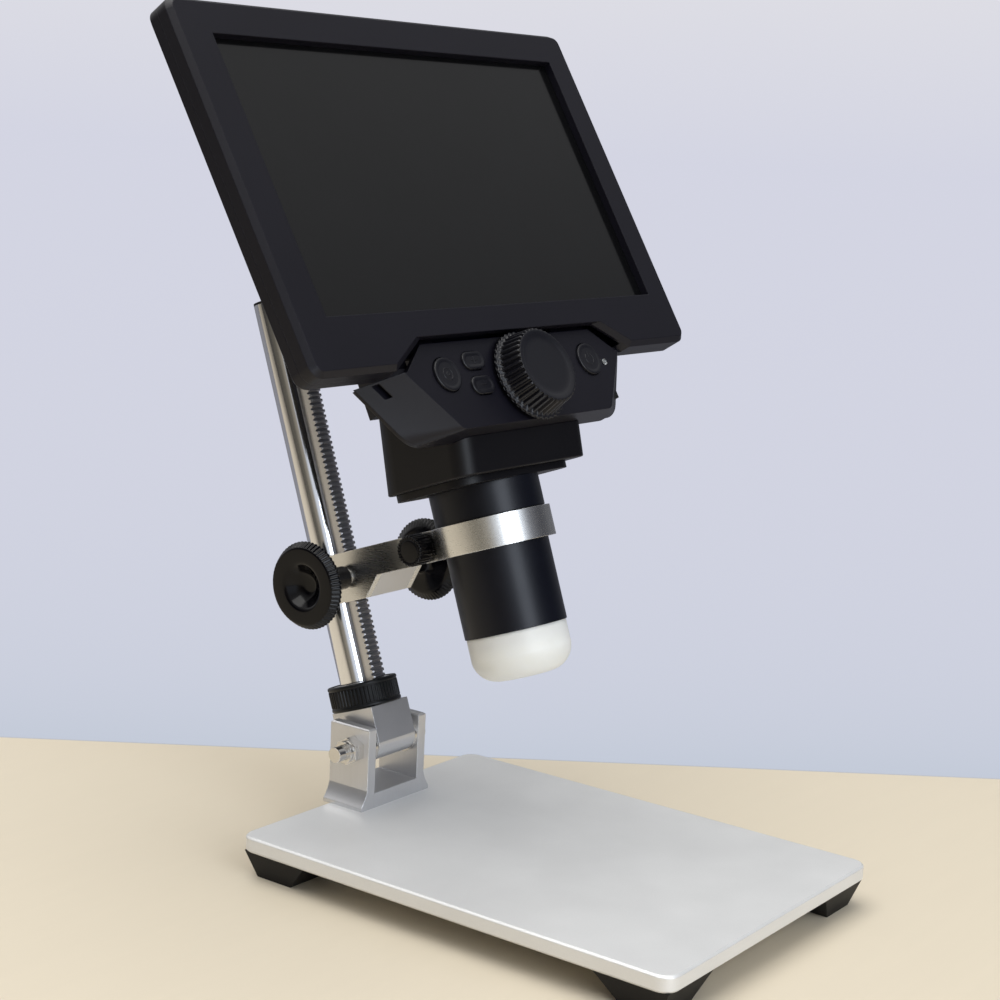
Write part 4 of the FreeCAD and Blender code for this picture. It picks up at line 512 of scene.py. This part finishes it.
def soften(corners, radius, steps):
    """Open outline with its inner corners turned into short curves.

    Each corner becomes (1-t)^2 A + 2t(1-t) C + t^2 B, from a point A before it to a point B after it.
    No curve takes more than CURVE_SHARE of a side.
    """
    points = np.array(corners, float)
    before, corner, after = points[:-2], points[1:-1], points[2:]
    reach_in = np.linalg.norm(corner - before, axis=1, keepdims=True)
    reach_out = np.linalg.norm(after - corner, axis=1, keepdims=True)
    sizes = np.broadcast_to(np.asarray(radius, float), (len(corner),))[:, None]
    start = corner + (before - corner) / reach_in * np.minimum(sizes, reach_in * CURVE_SHARE)
    end = corner + (after - corner) / reach_out * np.minimum(sizes, reach_out * CURVE_SHARE)
    t = np.linspace(0, 1, steps)[None, :, None]
    curve = (1 - t) ** 2 * start[:, None] + 2 * t * (1 - t) * corner[:, None] + t**2 * end[:, None]
    return np.concatenate([points[:1], curve.reshape(-1, 2), points[-1:]])


def lathe(name, place, profile, material, columns, relief):
    """Turned surface: (radius, height) rows about z, with relief(angle, row) added to the radius."""
    angle = np.linspace(0, 2 * math.pi, columns, endpoint=False)[None, :]
    radius = profile[:, :1] + relief(angle, np.arange(len(profile))[:, None])
    height = profile[:, 1:] + np.zeros_like(angle)
    points = np.stack([radius * np.cos(angle), radius * np.sin(angle), height], axis=-1)
    return surface(name, place.put(points), material)


print("surface helpers ready")

# %% [markdown]
# ## Knurls
# A straight knurl is a wave round the rim. The real one is pressed with a flat topped tool, so the wave
# is steepened and clipped. Between the first and last knurled row the wave is full, elsewhere it is nil.


# %% A straight knurl
COLUMNS_PER_TOOTH = 8
RIM_SHARE = 0.75


def clipped_wave(angle, count, steep):
    """0 on teeth and -1 in grooves: a cosine of count times the angle, steepened and clipped."""
    return np.clip(steep * np.cos(count * angle), -1, 1) * 0.5 - 0.5


def knurl(count, deep, first, last):
    """Relief of -deep in the grooves, on the rows first to last."""

    def relief(angle, row):
        return deep * clipped_wave(angle, count, 1.5) * ((row >= first) & (row <= last))

    return relief


def rows_between(profile, low, high):
    """First and last row whose height lies between two heights, on the outer part of the profile."""
    radius, height = profile.T
    inside = (height >= low) & (height <= high) & (radius > radius.max() * RIM_SHARE)
    rows = np.flatnonzero(inside)
    return rows.min(), rows.max()


# %% [markdown]
# ## Lift knobs
# Two black knobs on the pinion's shaft raise the arm. Each is widest at a ring near its back, tapers
# to its face under a knurl, and has a deep round dish in the face. The profile is turned about the shaft.

# %% Lift knobs
KNOB_TEETH = 60
KNOB_GROOVE = 0.3
KNOB_BAND = (28.6, 33.0)


def lift_knob(name, side, node):
    """One knob, its profile in (radius, distance from the middle of the arm) millimetres."""
    corners = [
        (0.0, 29.1), (3.6, 29.1), (7.5, 33.25), (12.6, 33.25), (14.25, 30.6), (14.25, 29.9),
        (11.2, 27.6), (6.2, 27.2), (3.8, 26.4), (3.8, 13.2), (2.6, 13.2),
    ]
    profile = soften(corners, [2.4, 0.9, 0.7, 0.35, 0.35, 0.8, 1.5, 1.5, 0.3], steps=6)
    relief = knurl(KNOB_TEETH, KNOB_GROOVE, *rows_between(profile, *KNOB_BAND))
    place = turning("pinion_spin", side)
    piece = lathe(name, place, profile, KNOB_BLACK, KNOB_TEETH * COLUMNS_PER_TOOTH, relief)
    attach(piece, "lift_pinion")
    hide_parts(node)


lift_knob("knob_left", -1.0, "lift_knob_left")
lift_knob("knob_right", 1.0, "lift_knob_right")
print("lift knobs turned")

# %% [markdown]
# ## Clamp screw
# A small black screw with a straight knurled head draws the band tight round the barrel.

# %% Clamp screw
CLAMP_TEETH = 26
CLAMP_GROOVE = 0.35
CLAMP_BAND = (12.7, 18.8)
clamp_corners = [
    (0.0, 19.1), (3.4, 19.1), (3.8, 18.7), (4.6, 19.1), (5.0, 18.7), (5.0, 12.8), (4.6, 12.3),
    (3.4, 12.3), (3.4, 11.55), (2.0, 11.55), (2.0, -15.2), (1.6, -15.7), (0.0, -15.7),
]
clamp_profile = soften(clamp_corners, 0.25, steps=3)
clamp_relief = knurl(CLAMP_TEETH, CLAMP_GROOVE, *rows_between(clamp_profile, *CLAMP_BAND))
clamp_place = turning("clamp_screw_turn", -1.0)
clamp_columns = CLAMP_TEETH * COLUMNS_PER_TOOTH
clamp = lathe("clamp_knob", clamp_place, clamp_profile, KNOB_BLACK, clamp_columns, clamp_relief)
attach(clamp, "clamp")
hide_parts("clamp_screw")
print("clamp knob turned")

# %% [markdown]
# ## Locking collar
# The ring at the foot of the post is screwed down on the tilt block. Its knurl is coarse and shallow,
# between two plain lips.

# %% Locking collar
COLLAR_TEETH = 56
COLLAR_GROOVE = 0.4
COLLAR_BAND = (-2.45, 3.05)
collar_corners = [
    (9.95, -4.0), (11.4, -4.0), (11.8, -3.6), (11.8, -2.9), (11.55, -2.6), (11.75, -2.3),
    (11.75, 2.9), (11.55, 3.2), (11.8, 3.5), (11.8, 4.2), (11.4, 4.55), (9.95, 4.55), (9.95, -4.0),
]
collar_profile = soften(collar_corners, 0.15, steps=3)
collar_relief = knurl(COLLAR_TEETH, COLLAR_GROOVE, *rows_between(collar_profile, *COLLAR_BAND))
collar_place = turning("locking_collar_turn", 1.0, (0, -1, 0))
collar_columns = COLLAR_TEETH * 6
collar = lathe(
    "collar_ring", collar_place, collar_profile, COLLAR_BLACK, collar_columns, collar_relief
)
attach(collar, "locking_ring")
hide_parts("locking_collar")
print("collar turned")

# %% [markdown]
# ## Focus wheel
# The wheel under the screen has forty deep ridges that end as a row of dots round its flat face, and
# flare out at the foot into a skirt. Two knurls of different depth are laid on the same profile.

# %% Focus wheel
RIDGES = 40
FLANK_GROOVE, SKIRT_GROOVE = 0.85, 0.4
FACE_UP, SKIRT_UP, SKIRT_FOOT = 6.6, -0.2, -1.5
RIDGE_FOOT = 11.6


def wheel_relief(profile):
    """Deep grooves on the flank and shallow ones on the skirt, by the height of each row."""

    def relief(angle, row):
        radius, height = profile[row, 0], profile[row, 1]
        outer = radius > RIDGE_FOOT
        flank = outer & (height < FACE_UP) & (height > SKIRT_UP)
        skirt = outer & (height <= SKIRT_UP) & (height > SKIRT_FOOT)
        return clipped_wave(angle, RIDGES, 1.6) * (FLANK_GROOVE * flank + SKIRT_GROOVE * skirt)

    return relief


wheel_corners = [
    (0.0, 6.1), (9.2, 6.1), (10.4, 6.55), (11.7, 6.8), (12.35, 6.3), (12.9, 3.0), (13.4, 0.2),
    (13.7, -0.4), (14.7, -0.75), (14.7, -1.45), (14.2, -1.75), (2.2, -1.75),
]
wheel_profile = soften(wheel_corners, [1.5, 0.6, 0.5, 0.4, 0.5, 0.3, 0.3, 0.25, 0.25, 0.3], steps=4)
wheel_columns = RIDGES * COLUMNS_PER_TOOTH
dial = lathe(
    "focus_dial", turning("focus_turn"), wheel_profile, KEY_BLACK, wheel_columns,
    wheel_relief(wheel_profile),
)
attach(dial, "focus_control")
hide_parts("focus_wheel")
print("focus dial turned")

# %% [markdown]
# ## Keys
# Four keys stand a little proud of the panel. Each is a stack of outlines: the rim rises from under the
# panel, rounds over, and dips slightly to a flat middle. An outline is a circle of the half height,
# pulled apart sideways by the spare width, so round and oval keys come from the same function.


# %% Keys
ROUND_X, ROUND_DOWN, ROUND_HALF = 34.8, 64.1, 5.4
OVAL_X, UPPER_DOWN, LOWER_DOWN = -21.2, 60.6, 68.6
OVAL_HALF_WIDE, OVAL_HALF_TALL = 5.0, 2.9
KEY_COLUMNS = 72
PULL_STEEP = 8

# Rows of a key from its foot to its flat middle: outline offset and depth behind the head's front.
KEY_ROWS = soften([
    (-3.5, 6.2), (-3.5, 5.9), (0.6, 5.9), (0.6, 5.2), (0.0, 5.1), (0.0, 2.5), (-0.45, 2.3),
    (-1.1, 2.38), (-1.5, 2.52), (-2.6, 2.5),
], 0.15, steps=3)


def key(name, node, x, down, half_wide, half_tall):
    """One key: each row is the outline made smaller by its offset, and both ends close to a point."""
    reach = np.concatenate([[0.0], np.maximum(half_tall + KEY_ROWS[:, 0], 0.0), [0.0]])
    depth = np.concatenate([KEY_ROWS[:1, 1], KEY_ROWS[:, 1], KEY_ROWS[-1:, 1]])
    spare = (half_wide - half_tall) * (reach > 0)
    angle = np.linspace(0, 2 * math.pi, KEY_COLUMNS, endpoint=False)[None, :]
    pull = np.clip(PULL_STEEP * np.cos(angle), -1, 1)
    wide = reach[:, None] * np.cos(angle) + spare[:, None] * pull
    tall = reach[:, None] * np.sin(angle)
    points = np.stack([x + wide, depth[:, None] + 0 * wide, -down + tall], axis=-1)
    piece = surface(name, SCREEN.put(points), KEY_BLACK)
    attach(piece, node)
    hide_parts(node)


key("key_left", "button_capture", -ROUND_X, ROUND_DOWN, ROUND_HALF, ROUND_HALF)
key("key_right", "button_power", ROUND_X, ROUND_DOWN, ROUND_HALF, ROUND_HALF)
key("key_upper", "button_zoom_in", OVAL_X, UPPER_DOWN, OVAL_HALF_WIDE, OVAL_HALF_TALL)
key("key_lower", "button_zoom_out", OVAL_X, LOWER_DOWN, OVAL_HALF_WIDE, OVAL_HALF_TALL)
print("keys pressed into place")

# %% [markdown]
# ## Marks on the keys
# The keys carry small raised marks. They are plain signs that any such device has: a ring on the left
# key, a plus and a minus on the ovals, and the broken ring with a bar of a power key on the right.


# %% Raised marks
KEY_FACE = 2.5
BEAD_HIGH = 0.12
BEAD_SIDES = 12
SIGN_HALF = 1.2


def stroke(name, path, node, wide=0.45, closed=False):
    """Bead along a path of (x, up) points: its section is a low oval, half sunk in the key's face."""
    if closed:
        ahead = np.roll(path, -1, axis=0) - np.roll(path, 1, axis=0)
    else:
        ahead = np.gradient(path, axis=0)
    ahead = ahead / np.linalg.norm(ahead, axis=1, keepdims=True)
    side = np.stack([-ahead[:, 1], ahead[:, 0]], axis=-1)
    turn = np.linspace(0, 2 * math.pi, BEAD_SIDES, endpoint=False)
    flat = path[:, None] + np.cos(turn)[None, :, None] * side[:, None] * wide / 2
    depth = KEY_FACE - BEAD_HIGH * np.sin(turn)[None, :] + 0 * flat[..., 0]
    grid = np.stack([flat[..., 0], depth, flat[..., 1]], axis=-1)
    if not closed:
        ends = grid[[0, -1]].mean(1, keepdims=True) + np.zeros_like(grid[[0, -1]])
        grid = np.concatenate([ends[:1], grid, ends[1:]])
    piece = surface(name, SCREEN.put(grid), KEY_BLACK, ring=closed)
    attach(piece, node)


def arc(x, up, radius, start, end, count=40, closed=False):
    """Points on a circle between two angles in degrees, anticlockwise from the right."""
    angle = np.radians(np.linspace(start, end, count, endpoint=not closed))
    return np.stack([x + radius * np.cos(angle), up + radius * np.sin(angle)], axis=-1)


def bar(x0, up0, x1, up1, count=6):
    """Points on a straight line, evenly spread."""
    return np.stack([np.linspace(x0, x1, count), np.linspace(up0, up1, count)], axis=-1)


def level(x, up):
    """The level line of a plus or minus sign."""
    return bar(x - SIGN_HALF, up, x + SIGN_HALF, up)


ring_path = arc(-ROUND_X, -ROUND_DOWN, 1.9, 0, 360, closed=True)
dot_path = arc(-ROUND_X, -ROUND_DOWN, 0.5, 0, 360, 20, closed=True)
upright_path = bar(OVAL_X, -UPPER_DOWN - SIGN_HALF, OVAL_X, -UPPER_DOWN + SIGN_HALF)
stroke("mark_capture_ring", ring_path, "button_capture", closed=True)
stroke("mark_capture_dot", dot_path, "button_capture", closed=True)
stroke("mark_power_ring", arc(ROUND_X, -ROUND_DOWN, 1.9, 125, 415), "button_power")
stroke("mark_power_bar", bar(ROUND_X, -63.7, ROUND_X, -61.7), "button_power")
stroke("mark_plus_across", level(OVAL_X, -UPPER_DOWN), "button_zoom_in", wide=0.4)
stroke("mark_plus_up", upright_path, "button_zoom_in", wide=0.4)
stroke("mark_minus", level(OVAL_X, -LOWER_DOWN), "button_zoom_out", wide=0.4)
print("marks raised")

# %% [markdown]
# ## Camera
# The camera stands where the photograph's perspective puts it: low, to the front left. Its place is
# counted from the middle of the base plate, and the lens and shift match a 1000 by 1000 picture.

# %% Camera
PICTURE = 1000.0
SENSOR = 36.0
plate_low, plate_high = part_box("base_plate")
plate_middle = (plate_low + plate_high) / 2
CAMERA_OFFSET = Vector((-0.474152, -0.320844, 0.227360))
YAW, PITCH, ROLL = 0.93850575, -0.19599972, -0.04737900
FOCAL_PIXELS = 1912.574
MIDDLE_X, MIDDLE_Y = 501.643, 535.211

ahead = Vector((math.sin(YAW) * math.cos(PITCH), math.cos(YAW) * math.cos(PITCH), math.sin(PITCH)))
rightward = Vector((math.cos(YAW), -math.sin(YAW), 0.0))
upward = rightward.cross(ahead)
roll = Matrix.Rotation(ROLL, 3, ahead)
rightward, upward = roll @ rightward, roll @ upward
camera_data = bpy.data.cameras.new("camera")
camera = bpy.data.objects.new("camera", camera_data)
bpy.context.scene.collection.objects.link(camera)
basis = Matrix((rightward, upward, -ahead)).transposed()
camera_place = Vector((plate_middle.x, plate_middle.y, 0.0)) + CAMERA_OFFSET
camera.matrix_world = Matrix.Translation(camera_place) @ basis.to_4x4()
camera_data.sensor_width = SENSOR
camera_data.lens = FOCAL_PIXELS * SENSOR / PICTURE
camera_data.shift_x = (PICTURE / 2 - MIDDLE_X) / PICTURE
camera_data.shift_y = (MIDDLE_Y - PICTURE / 2) / PICTURE
camera_data.clip_start = 0.01
bpy.context.scene.camera = camera
print("camera at", [round(v, 4) for v in camera_place], "lens", round(camera_data.lens, 2))

# %% [markdown]
# ## Table and background
# The table is pale and plain and ends a little way behind the plate. Beyond its edge everything is the
# pale lavender grey of the room, which the same sheet carries on as far as the eye sees, so no seam
# shows. That part glows only for the camera, straight or through clear pieces. Glossy pieces reflect
# its dark matt colour instead, and it throws no light of its own.


# %% Floor sheet
def on_table(column, line):
    """Point of the table seen at a place of the picture."""
    ray = ahead * FOCAL_PIXELS + rightward * (column - MIDDLE_X) - upward * (line - MIDDLE_Y)
    return camera_place - ray * (camera_place.z / ray.z)


EDGE_LEFT_LINE, EDGE_RIGHT_LINE = 737, 779
EDGE_SOFT = 0.0008
edge_left = on_table(0, EDGE_LEFT_LINE)
edge_right = on_table(PICTURE, EDGE_RIGHT_LINE)
edge_way = (edge_right - edge_left).normalized()
edge_back = Vector((-edge_way.y, edge_way.x, 0.0))
edge_far = edge_left.dot(edge_back)
WALL = (0.655, 0.665, 0.765)
WALL_HIGH = (0.75, 0.745, 0.785)
WALL_LOW = (0.55, 0.595, 0.69)
TABLE = (0.655, 0.580, 0.455)


def floor_finish():
    """Wood before the edge and the wall's tone behind it, mixed by the distance along edge_back."""
    finish = Finish("table_and_room", Specular_IOR_Level=0.35)
    distance = finish.along(edge_back)
    behind = distance.ramp(edge_far - EDGE_SOFT, edge_far + EDGE_SOFT)
    grain = finish.noise(0.004, 4.0, 0.6, finish.stretched(0, 14.0))
    clouds = finish.noise(0.25, 2.0)
    wood = finish.blend(grain * 0.35 + clouds * 0.3, toned(TABLE, 0.93), toned(TABLE, 1.05))
    tint = finish.blend(behind, wood, toned(WALL, 0.3))
    finish.feed(Base_Color=tint, Roughness=0.42 + 0.12 * grain)
    rays = ("Is Camera Ray", "Is Transmission Ray")
    straight, through = finish.node("ShaderNodeLightPath", out=rays)
    shown = (straight + through).ramp(0.0, 1.0) * behind
    wall = finish.blend((edge_far / distance).ramp(0.0, 1.0), rgba(*WALL), rgba(*WALL_LOW))
    glow = finish.node("ShaderNodeEmission", None, {"Color": wall, "Strength": 1.0})
    matt = Flow(finish, finish.shader.outputs[0])
    mixed = finish.node("ShaderNodeMixShader", None, {0: shown, 1: matt, 2: glow})
    finish.tree.links.new(mixed.socket, finish.tree.nodes["Material Output"].inputs["Surface"])
    return finish.material


REACH = 12.0
spread = np.linspace(-1, 1, 9) ** 3 * REACH
floor_x, floor_y = np.meshgrid(spread, spread, indexing="ij")
floor_points = np.stack([floor_x, floor_y, np.zeros_like(floor_x)], axis=-1)
floor = surface("table_sheet", floor_points, floor_finish(), around=False)
print("table edge", round(edge_far, 4), "m behind the origin")

# %% [markdown]
# ## Light
# The room is bright and even, with a tall cool window in front and a little to the left of the object,
# and a large soft lamp above it, which gives the soft shadow under the plate. The world is a ring of
# bright and dark walls, each at its bearing, so that chrome has something to show, under a pale ceiling.


# %% Lamps and world
AIM = Vector((0.0, -0.01, 0.12))


def softbox(name, place, size, power, colour):
    """Large square lamp that looks at the object."""
    data = bpy.data.lights.new(name, "AREA")
    data.shape = "RECTANGLE"
    data.size, data.size_y = size
    data.energy = power
    data.color = colour
    lamp = bpy.data.objects.new(name, data)
    lamp.location = place
    lamp.rotation_euler = (AIM - Vector(place)).to_track_quat("-Z", "Y").to_euler()
    bpy.context.scene.collection.objects.link(lamp)


softbox("window", (-0.48, -1.42, 0.75), (0.8, 1.2), 13, (0.84, 0.91, 1.0))
softbox("ceiling", (-0.25, 0.15, 1.6), (1.6, 1.5), 24, (1.0, 0.985, 0.96))

# Bearing in degrees from +X towards +Y, and the colour of the wall there.
ROOM_ROUND = [
    (0, (0.16, 0.165, 0.18)), (45, (0.14, 0.145, 0.155)), (62, (0.55, 0.55, 0.56)),
    (105, (0.75, 0.74, 0.74)), (125, (0.20, 0.19, 0.18)), (146, (0.03, 0.03, 0.035)),
    (185, (0.12, 0.11, 0.09)), (208, (0.30, 0.27, 0.22)), (224, (0.72, 0.77, 0.85)),
    (276, (0.70, 0.76, 0.86)), (292, (0.12, 0.125, 0.15)), (322, (0.06, 0.062, 0.075)),
]
CEILING = (0.62, 0.62, 0.62)


def room():
    """World: the wall's pale tone for the camera, and for the light a room with dark and bright parts."""
    world = bpy.data.worlds.new("room")
    bpy.context.scene.world = world
    world.use_nodes = True
    graph = Graph(world.node_tree)
    looking = graph.node("ShaderNodeTexCoord", out="Generated")
    x, y, z = graph.node("ShaderNodeSeparateXYZ", None, {0: looking}, out=("X", "Y", "Z"))
    bearing = graph.node("ShaderNodeMath", {"operation": "ARCTAN2"}, {0: y, 1: x}) / (2 * math.pi)
    walls = graph.node("ShaderNodeValToRGB", None, {0: (bearing + 1.0).fract()})
    ramp = walls.socket.node.color_ramp
    ramp.interpolation = "EASE"
    while len(ramp.elements) < len(ROOM_ROUND) + 1:
        ramp.elements.new(1.0)
    for stop, (degrees, colour) in zip(ramp.elements, ROOM_ROUND + [(360, ROOM_ROUND[0][1])]):
        stop.position = degrees / 360
        stop.color = rgba(*colour)
    lit = graph.blend(z.ramp(0.35, 0.8), walls, rgba(*CEILING))
    seen = graph.blend(z.ramp(0.0, 0.12), rgba(*WALL), rgba(*WALL_HIGH))
    camera_ray = graph.node("ShaderNodeLightPath", out="Is Camera Ray")
    colour = graph.blend(camera_ray, lit, seen)
    world.node_tree.links.new(colour.socket, world.node_tree.nodes["Background"].inputs["Color"])


room()
print("lamps and room ready")

# %% [markdown]
# ## Finish
# The picture's colours are written as they are, so the view transform is plain.

# %% Finish
bpy.context.scene.view_settings.view_transform = "Standard"
